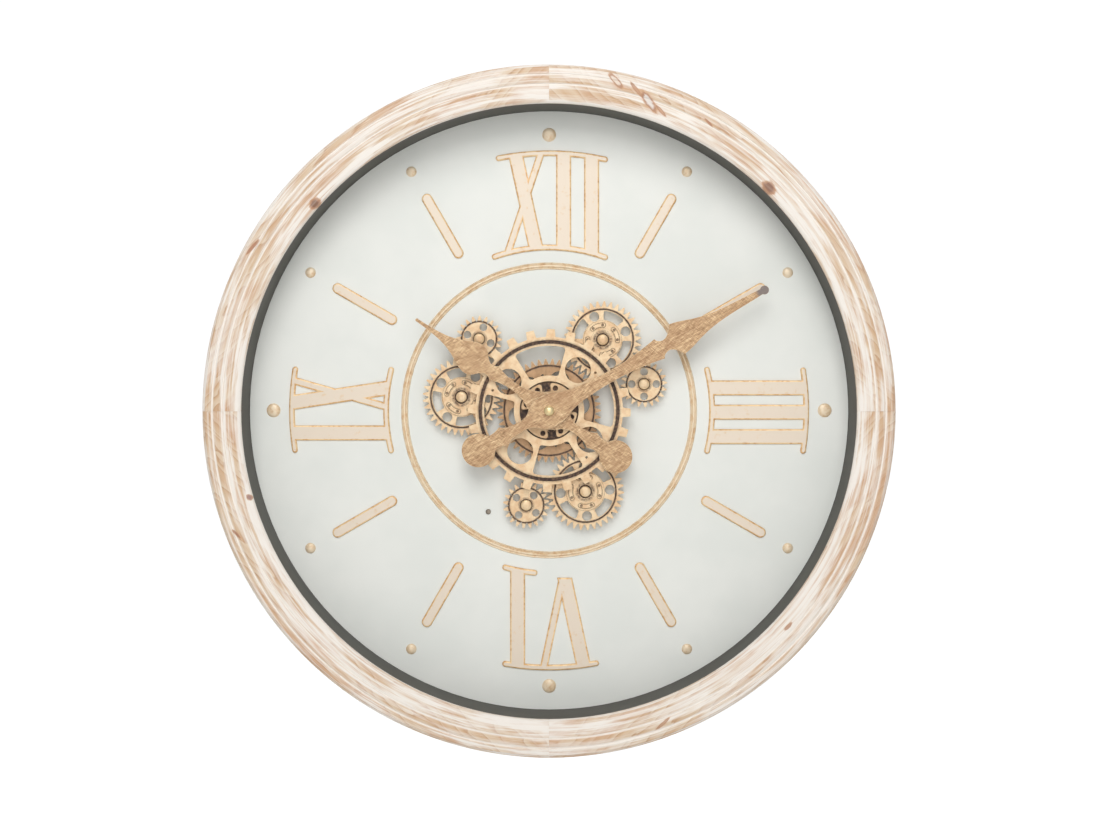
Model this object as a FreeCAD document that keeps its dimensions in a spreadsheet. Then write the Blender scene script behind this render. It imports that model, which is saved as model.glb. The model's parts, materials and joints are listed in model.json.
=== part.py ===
import FreeCAD, Part
import math
import os
import Sketcher
from FreeCAD import Placement, Rotation, Vector

# A round wall clock with a wooden moulding, a pressed dial and a train of open
# decorative gears. Millimetres. The clock's axis runs along Y through the origin.
# The wall is the plane y = 0, the front faces -Y and Z is up. A level is a
# distance in front of the wall. Angles run anticlockwise from +X, as seen from
# the front.

# Driving dimensions, one cell each: alias, value
SIZES = [
    # Wooden moulding
    ("frame_radius", 300.0),
    ("frame_depth", 84.0),
    ("rim_width", 34.0),
    ("band_edge", 15.4),
    ("bead_width", 7.2),
    ("rim_groove", 1.2),
    ("rim_groove_depth", 1.6),
    ("band_drop", 3.4),
    ("band_round", 4.6),
    ("rim_lip", 7.0),
    ("back_chamfer", 3.5),
    ("dowel_radius", 4.0),
    ("dowel_length", 36.0),
    ("dowel_inset", 16.0),
    ("dowel_level", 24.0),
    ("dowel_pitch", 34.0),
    ("segment_gap", 0.02),
    # Metal drum behind the moulding
    ("drum_wall", 1.0),
    ("drum_fit", 0.25),
    ("drum_end_gap", 0.1),
    ("flange_width", 16.0),
    ("flange_sheet", 1.0),
    # Dial
    ("dial_level", 32.0),
    ("dial_sheet", 1.0),
    ("dial_fit", 0.25),
    ("dial_hole", 8.6),
    ("relief", 1.8),
    ("ring_gap", 13.8),
    ("ring_half_width", 3.1),
    ("dot_inset", 21.2),
    ("dot_radius", 4.7),
    ("quarter_dot_radius", 6.2),
    ("bar_inset", 44.5),
    ("bar_length", 65.0),
    ("bar_width", 9.4),
    ("numeral_inset", 35.0),
    ("numeral_height", 88.8),
    ("serif_width", 5.2),
    ("thin_stroke", 7.0),
    ("thick_stroke", 13.4),
    # Back board and hanger
    ("board_sheet", 4.0),
    ("board_seat", 18.0),
    ("board_fit", 0.3),
    ("window_left", 36.0),
    ("window_right", 94.0),
    ("window_half_height", 38.0),
    ("window_corner", 6.0),
    ("board_screw_count", 8),
    ("screw_head", 3.4),
    ("screw_shank", 1.6),
    ("screw_length", 14.0),
    ("screw_head_depth", 1.8),
    ("hanger_inset", 49.25),
    ("hanger_width", 56.0),
    ("hanger_height", 40.0),
    ("hanger_sheet", 1.5),
    ("keyhole_radius", 5.0),
    ("keyhole_slot", 2.5),
    ("keyhole_rise", 12.0),
    ("keyhole_clearance", 4.0),
    ("rivet_radius", 1.8),
    ("rivet_inset", 6.0),
    # Carrier plate behind the dial
    ("carrier_level", 21.0),
    ("carrier_sheet", 1.5),
    ("carrier_margin", 10.0),
    ("carrier_wing", 92.0),
    ("carrier_wing_half", 37.0),
    ("carrier_waist", 34.0),
    ("standoff_x", 54.0),
    ("standoff_z", 90.0),
    ("standoff_radius", 4.0),
    ("carrier_screw_shank", 1.45),
    ("carrier_screw_head", 2.3),
    ("carrier_screw_rise", 1.5),
    ("running_fit", 0.06),
    ("seat_fit", 0.03),
    ("face_gap", 0.1),
    # Quartz movement
    ("movement_side", 56.0),
    ("movement_back", 5.0),
    ("movement_wall", 1.2),
    ("lid_sheet", 1.6),
    ("bay_height", 14.6),
    ("battery_radius", 7.1),
    ("battery_length", 49.0),
    ("battery_nub_radius", 2.6),
    ("battery_nub", 1.2),
    ("contact_sheet", 0.5),
    ("contact_gap", 0.25),
    ("board_card_sheet", 1.0),
    ("coil_radius", 3.8),
    ("coil_length", 15.0),
    ("coil_flange", 5.0),
    ("coil_flange_sheet", 1.2),
    # Motion work and hand shafts
    ("hand_module", 0.5),
    ("cannon_teeth", 12),
    ("minute_teeth", 36),
    ("hour_pinion_teeth", 10),
    ("hour_teeth", 40),
    ("motion_wheel_width", 2.0),
    ("minute_wheel_level", 12.0),
    ("hour_wheel_level", 15.3),
    ("motion_angle", 135.0),
    ("arbor_radius", 1.6),
    ("hour_tube_radius", 2.6),
    ("knob_radius", 5.0),
    ("knob_width", 2.2),
    ("bush_radius", 4.0),
    ("bush_flange", 7.0),
    ("bush_flange_width", 1.4),
    ("bush_front", 51.0),
    ("washer_radius", 8.0),
    ("washer_width", 0.5),
    ("nut_flats", 11.0),
    ("nut_width", 2.0),
    # Gear train
    ("tooth_module", 1.96),
    ("centre_teeth", 46),
    ("large_teeth", 34),
    ("small_teeth", 20),
    ("tooth_rise", 0.85),
    ("tooth_fall", 4.05),
    ("tooth_tip", 1.2),
    ("tooth_root", 4.3),
    ("gear_level", 38.0),
    ("gear_width", 2.6),
    ("first_angle", 52.9),
    ("second_angle", 171.2),
    ("third_angle", 294.1),
    ("pair_turn", 313.1),
    ("pair_slack", 0.7),
    ("engraved_width", 0.9),
    ("engraved_depth", 0.4),
    ("plate_level", 45.0),
    ("plate_width", 3.0),
    ("plate_teeth", 24),
    ("plate_tip", 71.8),
    ("plate_root", 65.0),
    ("plate_tooth_tip", 6.9),
    ("plate_tooth_root", 8.4),
    ("plate_phase", 13.7),
    ("pin_hole_circle", 52.7),
    ("pin_hole_radius", 1.15),
    ("plate_band", 62.0),
    ("plate_groove", 59.2),
    ("plate_groove_depth", 0.8),
    ("arch_outer", 57.2),
    ("arch_inner", 31.0),
    ("arch_half_angle", 23.4),
    ("arch_angle", 98.5),
    ("arch_corner", 2.6),
    ("eye_circle", 43.8),
    ("eye_radius", 11.4),
    ("hub_recess", 26.0),
    ("hub_floor", 1.0),
    ("petal_radius", 25.1),
    ("petal_width", 2.4),
    ("petal_slot_inner", 17.2),
    ("petal_slot_width", 6.6),
    ("petal_slot_angle", 97.0),
    ("petal_corner", 2.6),
    ("petal_hole_circle", 20.6),
    ("petal_hole_radius", 1.9),
    ("centre_window_circle", 27.4),
    ("centre_window_radius", 8.9),
    ("centre_window_angle", 10.5),
    ("centre_ring", 39.2),
    ("tube_radius", 7.0),
    ("tube_shoulder", 10.0),
    ("tube_shoulder_width", 5.0),
    ("collar_radius", 10.6),
    ("collar_width", 1.8),
    ("drive_module", 1.0),
    ("drive_teeth", 72),
    ("drive_level", 25.6),
    ("drive_width", 3.0),
    # Satellite wheels
    ("large_hub", 16.6),
    ("large_hub_rise", 1.0),
    ("large_recess", 10.2),
    ("cap_pocket", 6.1),
    ("cap_pocket_depth", 1.3),
    ("large_window_inner", 17.6),
    ("large_window_outer", 25.6),
    ("large_window_half_angle", 22.5),
    ("large_window_corner", 1.3),
    ("large_eye_circle", 21.7),
    ("large_eye_radius", 4.35),
    ("large_ring", 26.6),
    ("link_inner", 11.1),
    ("link_outer", 15.0),
    ("link_half_angle", 32.0),
    ("link_sheet", 0.8),
    ("link_hole_radius", 0.9),
    ("link_hole_angle", 20.0),
    ("small_hole_circle", 10.9),
    ("small_hole_radius", 3.4),
    ("small_ring", 15.1),
    ("small_pocket", 5.5),
    ("first_eye_turn", 20.0),
    ("second_eye_turn", 55.0),
    ("third_eye_turn", 4.0),
    ("first_hole_turn", 0.0),
    ("second_hole_turn", 70.0),
    ("third_hole_turn", 52.0),
    ("post_base", 5.2),
    ("post_base_width", 1.2),
    ("post_radius", 3.6),
    ("journal_radius", 2.5),
    ("post_tail", 2.0),
    ("post_tail_length", 1.0),
    ("cap_radius", 4.8),
    ("cap_skirt", 1.9),
    ("cap_rise", 1.3),
    # Hands
    ("hand_sheet", 1.2),
    ("hour_hand_level", 53.0),
    ("minute_hand_level", 57.0),
    ("minute_reach", 220.0),
    ("hour_reach", 142.0),
    ("blade_half_width", 14.6),
    ("paddle_radius", 13.5),
    ("paddle_offset", 72.0),
    ("minute_hand_angle", 29.3),
    ("hour_hand_angle", 145.5),
    ("nut_radius", 4.4),
    ("nut_skirt", 1.6),
    ("nut_dome", 2.6),
    # Gear motor
    ("pinion_teeth", 12),
    ("pinion_width", 3.4),
    ("pinion_shaft", 1.8),
    ("pinion_hole", 3.0),
    ("motor_gap", 1.5),
    ("motor_room", 41.0),
    ("motor_can_radius", 10.8),
    ("motor_can_length", 11.5),
    ("motor_shaft_depth", 7.0),
    ("switch_x", 58.0),
    ("switch_z", 19.0),
    ("switch_length", 6.0),
    ("switch_width", 3.4),
    ("switch_travel", 3.0),
    ("switch_play", 0.2),
    ("switch_tab", 0.4),
    ("switch_guide", 1.5),
    ("switch_guide_sheet", 1.2),
    ("switch_box_wall", 0.8),
    ("switch_box_depth", 5.0),
    ("ear_width", 10.0),
    ("ear_length", 7.0),
    ("ear_sheet", 1.8),
    ("ear_x", 62.0),
    ("motor_screw_radius", 1.4),
    ("motor_screw_head", 2.6),
    ("motor_screw_rise", 1.6),
]

# Shares of a hand's reach, and of its greatest half width, from the tail's neck
# to the tip. A third value of 1 marks a sharp corner.
MINUTE_EDGE_SHARES = [
    (-0.262, 0.45, 0), (-0.236, 0.47, 0), (-0.206, 0.62, 1),
    (-0.186, 0.40, 0), (-0.140, 0.31, 0), (-0.095, 0.36, 0), (-0.050, 0.84, 0),
    (0.000, 0.99, 0), (0.040, 0.90, 0), (0.090, 0.62, 0), (0.160, 0.43, 0),
    (0.260, 0.34, 0), (0.360, 0.37, 0), (0.440, 0.50, 0), (0.504, 0.66, 1),
    (0.512, 0.47, 0), (0.535, 0.36, 0), (0.556, 0.50, 0), (0.580, 1.00, 1),
    (0.610, 0.93, 0), (0.660, 0.69, 0), (0.730, 0.42, 0), (0.800, 0.29, 0),
    (0.890, 0.22, 0), (0.968, 0.17, 1),
]
HOUR_EDGE_SHARES = [
    (-0.408, 0.43, 0), (-0.370, 0.42, 0), (-0.321, 0.56, 1),
    (-0.285, 0.36, 0), (-0.215, 0.27, 0), (-0.150, 0.34, 0), (-0.080, 0.84, 0),
    (0.000, 0.99, 0), (0.060, 0.88, 0), (0.125, 0.58, 0), (0.190, 0.33, 0),
    (0.260, 0.23, 0), (0.335, 0.29, 0), (0.414, 0.49, 1),
    (0.440, 0.35, 0), (0.475, 0.42, 0), (0.515, 0.80, 0), (0.560, 1.00, 0),
    (0.610, 0.92, 0), (0.680, 0.60, 0), (0.760, 0.31, 0), (0.840, 0.17, 0),
    (0.985, 0.09, 1),
]
# Places of a numeral's strokes and ends of its serifs, as shares of the
# numeral's height to the left and right of its centre line. A stroke is given
# by its middle at the inner end and at the outer end, and by how far its inner
# end stops short of the serifs' line.
NUMERAL_STROKE_SHARES = {
    "XII": [("thick", -0.130, -0.335), ("thin", -0.415, -0.080),
            ("thick", 0.145, 0.145), ("thick", 0.425, 0.425)],
    "III": [("thick", -0.225, -0.225), ("thick", 0.018, 0.018), ("thick", 0.262, 0.262)],
    "VI": [("thick", -0.155, -0.345, 0.055), ("thin", -0.135, 0.055, 0.055), ("thick", 0.315, 0.315)],
    "IX": [("thick", -0.225, -0.225), ("thick", 0.225, 0.078), ("thin", 0.035, 0.300)],
}
NUMERAL_SERIF_SHARES = {
    "XII": [("outer", -0.505, 0.560), ("inner", -0.545, 0.560)],
    "III": [("outer", -0.400, 0.405), ("inner", -0.405, 0.405)],
    "VI": [("outer", -0.470, 0.440), ("inner", 0.145, 0.440)],
    "IX": [("outer", -0.395, 0.410), ("inner", -0.400, 0.405)],
}
NUMERAL_ANGLES = {"XII": 90.0, "III": 0.0, "VI": 270.0, "IX": 180.0}


# Lengths that remember their formula
class Size:
    """A length with its number and the sheet formula that it comes from."""

    def __init__(self, number, formula):
        self.number = number
        self.formula = formula

    def __float__(self):
        return self.number

    def __add__(self, other):
        return Size(self.number + float(other), f"({self.formula} + {formula_of(other)})")

    def __sub__(self, other):
        return Size(self.number - float(other), f"({self.formula} - {formula_of(other)})")

    def __mul__(self, share):
        return Size(self.number * float(share), f"({self.formula} * {formula_of(share)})")

    def __truediv__(self, share):
        return Size(self.number / float(share), f"({self.formula} / {formula_of(share)})")

    def __neg__(self):
        return Size(-self.number, f"(0 - {self.formula})")

    __radd__ = __add__
    __rmul__ = __mul__


def formula_of(value):
    """The sheet formula of a size, or the plain number as text."""
    return value.formula if isinstance(value, Size) else f"{float(value):.9f}"


doc = FreeCAD.newDocument("GearClock")
sheet = doc.addObject("Spreadsheet::Sheet", "Sizes")
for row, (alias, amount) in enumerate(SIZES, start=1):
    sheet.set(f"A{row}", alias)
    sheet.set(f"B{row}", str(amount))
    sheet.setAlias(f"B{row}", alias)
doc.recompute()


class Sizes:
    """Every cell of the sheet, read by its alias."""

    def __getattr__(self, alias):
        return Size(float(sheet.get(alias)), f"Sizes.{alias}")


v = Sizes()
ZERO = Size(0.0, "0")
nodes = []


def whole(count):
    """A number of teeth or of copies."""
    return int(round(float(count)))


# Derived levels and radii
rim_inner = v.frame_radius - v.rim_width
drum_inner = rim_inner
drum_outer = drum_inner + v.drum_wall
wood_bore = drum_outer + v.drum_fit
seat_radius = wood_bore + v.board_seat
seat_level = v.board_sheet + v.flange_sheet
board_screw_circle = seat_radius - v.board_seat * 0.45
board_screw_tip = v.screw_length
board_screws = whole(v.board_screw_count)
board_screw_turn = 180.0 / board_screws
dial_back = v.dial_level - v.dial_sheet
rim_back = v.frame_depth - v.rim_lip
carrier_front = v.carrier_level + v.carrier_sheet
lid_front = v.movement_back + v.lid_sheet
nut_level = carrier_front + v.washer_width
dot_circle = drum_inner - v.dot_inset
bar_outer = drum_inner - v.bar_inset
bar_inner = bar_outer - v.bar_length
numeral_outer = drum_inner - v.numeral_inset
numeral_inner = numeral_outer - v.numeral_height
ring_radius = numeral_inner - v.ring_gap
hanger_centre = seat_radius - v.hanger_inset
centre_pitch = v.tooth_module * whole(v.centre_teeth) / 2
large_pitch = v.tooth_module * whole(v.large_teeth) / 2
small_pitch = v.tooth_module * whole(v.small_teeth) / 2
large_distance = centre_pitch + large_pitch
pair_distance = large_pitch + small_pitch + v.pair_slack
drive_pitch = v.drive_module * whole(v.drive_teeth) / 2
pinion_pitch = v.drive_module * whole(v.pinion_teeth) / 2
pinion_distance = drive_pitch + pinion_pitch
gear_front = v.gear_level + v.gear_width
plate_front = v.plate_level + v.plate_width
petal_level = v.plate_level + v.hub_floor
collar_level = petal_level + v.petal_width
collar_front = collar_level + v.collar_width
hand_tip_level = v.minute_hand_level + v.hand_sheet
motion_distance = v.hand_module * (whole(v.cannon_teeth) + whole(v.minute_teeth)) / 2
hour_module = motion_distance * 2 / (whole(v.hour_pinion_teeth) + whole(v.hour_teeth))
battery_axis = v.carrier_level - v.movement_wall - v.contact_gap - v.battery_radius


# Helpers for sketched bodies
def new_body(name, x=ZERO, z=ZERO):
    """A body whose own axis runs along Y through x and z."""
    body = doc.addObject("PartDesign::Body", name)
    body.Label = name
    body.Placement = Placement(Vector(float(x), 0, float(z)), Rotation())
    nodes.append(body)
    return body


def new_sketch(body, level=None, role="XZ_Plane"):
    """A sketch on one of the body's own planes, at a level before the wall."""
    sketch = body.newObject("Sketcher::SketchObject", body.Name + "_sketch")
    plane = next(item for item in body.Origin.OriginFeatures if item.Role == role)
    sketch.AttachmentSupport = [(plane, "")]
    sketch.MapMode = "FlatFace"
    if level is not None:
        sketch.AttachmentOffset = Placement(Vector(0, 0, float(level)), Rotation())
        sketch.setExpression("AttachmentOffset.Base.z", level.formula)
    return sketch


def bind(sketch, kind, places, size):
    """A dimension in a sketch, bound to its formula."""
    index = sketch.addConstraint(Sketcher.Constraint(kind, *places, float(size)))
    sketch.setExpression(f"Constraints[{index}]", formula_of(size))


def draw_circle(sketch, radius, x=ZERO, z=ZERO):
    """A circle with its radius and centre bound."""
    centre = Vector(float(x), float(z), 0)
    index = sketch.addGeometry(Part.Circle(centre, Vector(0, 0, 1), float(radius)), False)
    bind(sketch, "Radius", (index,), radius)
    if float(x) or float(z):
        bind(sketch, "DistanceX", (-1, 1, index, 3), x)
        bind(sketch, "DistanceY", (-1, 1, index, 3), z)
    else:
        sketch.addConstraint(Sketcher.Constraint("Coincident", index, 3, -1, 1))


def draw_polygon(sketch, corners):
    """A closed outline of straight lines with every corner bound."""
    spots = [Vector(float(a), float(b), 0) for a, b in corners]
    following = spots[1:] + spots[:1]
    lines = [Part.LineSegment(start, end) for start, end in zip(spots, following)]
    first = sketch.addGeometry(lines, False)[0]
    count = len(corners)
    for step, (a, b) in enumerate(corners):
        here = first + step
        sketch.addConstraint(Sketcher.Constraint("Coincident", here, 2, first + (step + 1) % count, 1))
        bind(sketch, "DistanceX", (-1, 1, here, 1), a)
        bind(sketch, "DistanceY", (-1, 1, here, 1), b)


def draw_outline(sketch, curves):
    """A closed outline of ready lines and arcs."""
    sketch.addGeometry(curves, False)


def add_pad(body, sketch, length):
    """Material from a sketch towards the front."""
    pad = body.newObject("PartDesign::Pad", body.Name + "_pad")
    pad.Profile = sketch
    pad.setExpression("Length", formula_of(length))
    return pad


def add_pocket(body, sketch, depth):
    """A cut from a sketch towards the wall."""
    pocket = body.newObject("PartDesign::Pocket", body.Name + "_pocket")
    pocket.Profile = sketch
    pocket.setExpression("Length", formula_of(depth))
    return pocket


def add_turned(body, corners, angle=360.0):
    """A turned piece: corners are radius and level, turned about the clock's axis."""
    sketch = new_sketch(body, role="XY_Plane")
    draw_polygon(sketch, [(radius, -level) for radius, level in corners])
    turned = body.newObject("PartDesign::Revolution", body.Name + "_turned")
    turned.Profile = sketch
    turned.ReferenceAxis = (sketch, ["V_Axis"])
    turned.Angle = angle
    return turned


def turned_body(name, corners, x=ZERO, z=ZERO):
    """A body that is one turned piece."""
    body = new_body(name, x, z)
    add_turned(body, corners)
    return body


# Helpers for pieces shaped directly
def spot(radius, degrees, level=0.0):
    """A point at a radius, an angle and a level."""
    turn = math.radians(degrees)
    return Vector(float(radius) * math.cos(turn), -float(level), float(radius) * math.sin(turn))


def turned_shape(corners, x=ZERO, z=ZERO):
    """A turned solid: corners are radius and level."""
    points = [Vector(float(radius), -float(level), 0) for radius, level in corners]
    face = Part.Face(Part.makePolygon(points + points[:1]))
    solid = face.revolve(Vector(0, 0, 0), Vector(0, 1, 0), 360)
    solid.translate(Vector(float(x), 0, float(z)))
    return solid


def front_prism(points, level, length):
    """A solid from an outline of points at a level, extended to the front."""
    placed = [Vector(point.x, -float(level), point.z) for point in points]
    face = Part.Face(Part.makePolygon(placed + placed[:1]))
    return face.extrude(Vector(0, -float(length), 0))


def add_shape(name, shape):
    """A node whose shape is set directly."""
    feature = doc.addObject("Part::Feature", name)
    feature.Label = name
    feature.Shape = shape
    nodes.append(feature)
    return feature


def plane_spot(radius, degrees):
    """A point in a front-facing sketch."""
    turn = math.radians(degrees)
    return Vector(float(radius) * math.cos(turn), float(radius) * math.sin(turn), 0)


# Outlines for gears and windows
def tooth_curves(count, root, tip, root_width, tip_width, phase):
    """The rim of a wheel with straight-sided teeth, one of them at the phase."""
    root_half = math.degrees(float(root_width) / float(root) / 2)
    tip_half = math.degrees(float(tip_width) / float(tip) / 2)
    pitch = 360.0 / count
    curves = []
    for step in range(count):
        middle = phase + step * pitch
        foot = plane_spot(root, middle - root_half)
        left = plane_spot(tip, middle - tip_half)
        right = plane_spot(tip, middle + tip_half)
        heel = plane_spot(root, middle + root_half)
        rest = plane_spot(root, middle + pitch / 2)
        after = plane_spot(root, middle + pitch - root_half)
        curves.append(Part.LineSegment(foot, left))
        curves.append(Part.Arc(left, plane_spot(tip, middle), right))
        curves.append(Part.LineSegment(right, heel))
        curves.append(Part.Arc(heel, rest, after))
    return curves


def arch_curves(inner, outer, half_angle, corner, middle):
    """A window between two radii with rounded corners."""
    inner, outer, corner = float(inner), float(outer), float(corner)
    outer_turn = math.degrees(math.asin(corner / (outer - corner)))
    inner_turn = math.degrees(math.asin(corner / (inner + corner)))
    outer_along = math.sqrt((outer - corner) ** 2 - corner ** 2)
    inner_along = math.sqrt((inner + corner) ** 2 - corner ** 2)
    low, high = middle - half_angle, middle + half_angle

    def corner_arc(radius, degrees, start, end):
        centre = plane_spot(radius, degrees)
        towards = (start + end) * 0.5 - centre
        towards.normalize()
        return Part.Arc(start, centre + towards * corner, end)

    arcs = [
        corner_arc(outer - corner, high - outer_turn, plane_spot(outer, high - outer_turn),
                   plane_spot(outer_along, high)),
        corner_arc(inner + corner, high - inner_turn, plane_spot(inner_along, high),
                   plane_spot(inner, high - inner_turn)),
        corner_arc(inner + corner, low + inner_turn, plane_spot(inner, low + inner_turn),
                   plane_spot(inner_along, low)),
        corner_arc(outer - corner, low + outer_turn, plane_spot(outer_along, low),
                   plane_spot(outer, low + outer_turn)),
    ]
    return [
        Part.Arc(plane_spot(outer, low + outer_turn), plane_spot(outer, middle),
                 plane_spot(outer, high - outer_turn)),
        arcs[0],
        Part.LineSegment(plane_spot(outer_along, high), plane_spot(inner_along, high)),
        arcs[1],
        Part.Arc(plane_spot(inner, high - inner_turn), plane_spot(inner, middle),
                 plane_spot(inner, low + inner_turn)),
        arcs[2],
        Part.LineSegment(plane_spot(inner_along, low), plane_spot(outer_along, low)),
        arcs[3],
    ]


def mesh_phase(direction, leader_phase, leader_teeth, follower_teeth):
    """Where a follower has a tooth so that it meshes along the line of centres."""
    offset = (leader_phase - direction) / (360.0 / leader_teeth)
    return direction + 180.0 + (0.5 - offset) * 360.0 / follower_teeth


def ring_places(count, radius, first):
    """Places on a circle as bound x and z."""
    for step in range(count):
        turn = math.radians(first + step * 360.0 / count)
        yield radius * math.cos(turn), radius * math.sin(turn)


# Wooden moulding, four quarters cut square at the joints
bead_inner = rim_inner + v.band_edge
bead_outer = bead_inner + v.rim_groove + v.bead_width
groove_floor = v.frame_depth - v.rim_groove_depth - v.rim_groove
outer_land = bead_outer + v.rim_groove
QUARTER_PROFILE = [
    (seat_radius, ZERO),
    (v.frame_radius - v.back_chamfer, ZERO),
    (v.frame_radius, v.back_chamfer),
    (v.frame_radius, v.frame_depth - v.band_round * 2),
    (v.frame_radius - v.band_round * 0.25, v.frame_depth - v.band_round),
    (v.frame_radius - v.band_round * 0.8, v.frame_depth - v.band_round * 0.4),
    (outer_land + v.rim_groove * 0.6, v.frame_depth - v.rim_groove * 0.8),
    (outer_land, v.frame_depth - v.rim_groove * 1.2),
    (outer_land, groove_floor),
    (bead_outer, groove_floor),
    (bead_outer, v.frame_depth - v.rim_groove),
    (bead_outer - v.bead_width * 0.25, v.frame_depth - v.rim_groove * 0.2),
    (bead_outer - v.bead_width * 0.5, v.frame_depth),
    (bead_outer - v.bead_width * 0.75, v.frame_depth - v.rim_groove * 0.2),
    (bead_outer - v.bead_width, v.frame_depth - v.rim_groove),
    (bead_outer - v.bead_width, groove_floor),
    (bead_inner, groove_floor),
    (bead_inner, v.frame_depth - v.rim_groove * 1.2),
    (bead_inner - v.band_edge * 0.1, v.frame_depth - v.rim_groove * 0.8),
    (bead_inner - v.band_edge * 0.45, v.frame_depth - v.rim_groove),
    (bead_inner - v.band_edge * 0.8, v.frame_depth - v.band_drop * 0.6),
    (rim_inner + v.band_edge * 0.05, v.frame_depth - v.band_drop),
    (rim_inner, v.frame_depth - v.band_drop - v.rim_groove),
    (rim_inner, rim_back),
    (wood_bore, rim_back),
    (wood_bore, seat_level),
    (seat_radius, seat_level),
]
QUARTER_NAMES = ["frame_lower_right", "frame_lower_left", "frame_upper_left", "frame_upper_right"]
joint_turn = math.degrees(float(v.segment_gap) / float(v.frame_radius))
dowel_circle = v.frame_radius - v.dowel_inset
dowel_levels = (v.dowel_level, v.dowel_level + v.dowel_pitch)
dowel_bore = v.dowel_radius + v.seat_fit
for step, quarter_name in enumerate(QUARTER_NAMES):
    quarter = new_body(quarter_name)
    quarter_turn = add_turned(quarter, QUARTER_PROFILE, 90.0 - 2 * joint_turn)
    quarter.Placement = Placement(Vector(0, 0, 0), Rotation(Vector(0, 1, 0), step * 90.0 + joint_turn))
    for end_plane in ("XY_Plane", "YZ_Plane"):
        bores = new_sketch(quarter, role=end_plane)
        for level in dowel_levels:
            if end_plane == "XY_Plane":
                draw_circle(bores, dowel_bore, dowel_circle, -level)
            else:
                draw_circle(bores, dowel_bore, -level, -dowel_circle)
        add_pocket(quarter, bores, v.dowel_length).Midplane = True
    screw_bores = new_sketch(quarter, board_screw_tip)
    for x, z in ring_places(board_screws, board_screw_circle, board_screw_turn):
        if float(x) > 0 > float(z):
            draw_circle(screw_bores, v.screw_shank + v.seat_fit, x, z)
    add_pocket(quarter, screw_bores, board_screw_tip)

# Dowels across the four joints
dowel_solids = []
for step in range(4):
    for level in dowel_levels:
        base = spot(dowel_circle, step * 90.0, level)
        along = spot(1.0, step * 90.0 + 90.0)
        dowel_solids.append(
            Part.makeCylinder(float(v.dowel_radius), float(v.dowel_length) * 0.9,
                              base - along * float(v.dowel_length) * 0.45, along))
add_shape("frame_dowels", Part.makeCompound(dowel_solids))

# Dark metal drum with its foot, and the ring welded in it that carries the dial
drum_front = rim_back - v.drum_end_gap
drum_foot = seat_radius - v.board_fit
drum = turned_body("case_drum", [
    (drum_inner, drum_front), (drum_outer, drum_front),
    (drum_outer, seat_level), (drum_foot, seat_level),
    (drum_foot, v.board_sheet), (drum_inner, v.board_sheet),
])
foot_holes = new_sketch(drum, seat_level)
for x, z in ring_places(board_screws, board_screw_circle, board_screw_turn):
    draw_circle(foot_holes, v.screw_shank + v.seat_fit, x, z)
add_pocket(drum, foot_holes, v.flange_sheet)
ring_outer = drum_inner - v.seat_fit
ring_back = dial_back - v.flange_sheet
turned_body("dial_ring", [
    (drum_inner - v.flange_width, ring_back), (ring_outer, ring_back),
    (ring_outer, dial_back), (drum_inner - v.flange_width, dial_back)])

# Dial: pressed sheet with its relief
def relief_bar(inner, outer, width, degrees):
    """A raised bar with round ends along a radius."""
    half = float(width) / 2
    start, end = float(inner) + half, float(outer) - half
    side = spot(1.0, degrees + 90.0) * half
    slab = front_prism([spot(start, degrees) - side, spot(end, degrees) - side,
                        spot(end, degrees) + side, spot(start, degrees) + side],
                       v.dial_level, v.relief)
    ends = [Part.makeCylinder(half, float(v.relief), spot(radius, degrees, v.dial_level),
                              Vector(0, -1, 0)) for radius in (start, end)]
    return slab.fuse(ends)


def serif_shape(numeral, row, low, high):
    """A serif that follows the dial's curve, with its ends at the given shares."""
    radius = numeral_outer - v.serif_width if row == "outer" else numeral_inner
    start, end = float(radius), float(radius) + float(v.serif_width)
    middle = (start + end) / 2
    turns = [math.degrees(math.asin(float(v.numeral_height) * share / middle)) for share in (low, high)]
    direction = NUMERAL_ANGLES[numeral]
    first, last = direction - turns[1], direction - turns[0]
    outline = Part.Wire([
        Part.Arc(spot(end, first, v.dial_level), spot(end, (first + last) / 2, v.dial_level),
                 spot(end, last, v.dial_level)).toShape(),
        Part.LineSegment(spot(end, last, v.dial_level), spot(start, last, v.dial_level)).toShape(),
        Part.Arc(spot(start, last, v.dial_level), spot(start, (first + last) / 2, v.dial_level),
                 spot(start, first, v.dial_level)).toShape(),
        Part.LineSegment(spot(start, first, v.dial_level), spot(end, first, v.dial_level)).toShape(),
    ])
    bar = Part.Face(outline).extrude(Vector(0, -float(v.relief), 0))
    knobs = [Part.makeCylinder(float(v.serif_width) / 2, float(v.relief),
                               spot(middle, degrees, v.dial_level), Vector(0, -1, 0))
             for degrees in (first, last)]
    return bar.fuse(knobs)


def stroke_shape(numeral, kind, inner_share, outer_share, lift_share=0.0):
    """A straight stroke from the inner serif to the outer one."""
    half = float(v.thick_stroke if kind == "thick" else v.thin_stroke) / 2
    direction = NUMERAL_ANGLES[numeral]
    outward = spot(1.0, direction)
    across = spot(1.0, direction - 90.0)
    inner = outward * float(numeral_inner + v.serif_width * 0.4 + v.numeral_height * lift_share)
    outer = outward * (float(numeral_outer) - float(v.serif_width) * 0.4)
    height = float(v.numeral_height)
    foot = across * (height * inner_share)
    head = across * (height * outer_share)
    side = across * half
    sink_inner = outward * (float(numeral_inner)
                            - math.sqrt(float(numeral_inner) ** 2 - (height * inner_share) ** 2))
    sink_outer = outward * (float(numeral_outer)
                            - math.sqrt(float(numeral_outer) ** 2 - (height * outer_share) ** 2))
    return front_prism([inner + foot - side - sink_inner, inner + foot + side - sink_inner,
                        outer + head + side - sink_outer, outer + head - side - sink_outer],
                       v.dial_level, v.relief)


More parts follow.
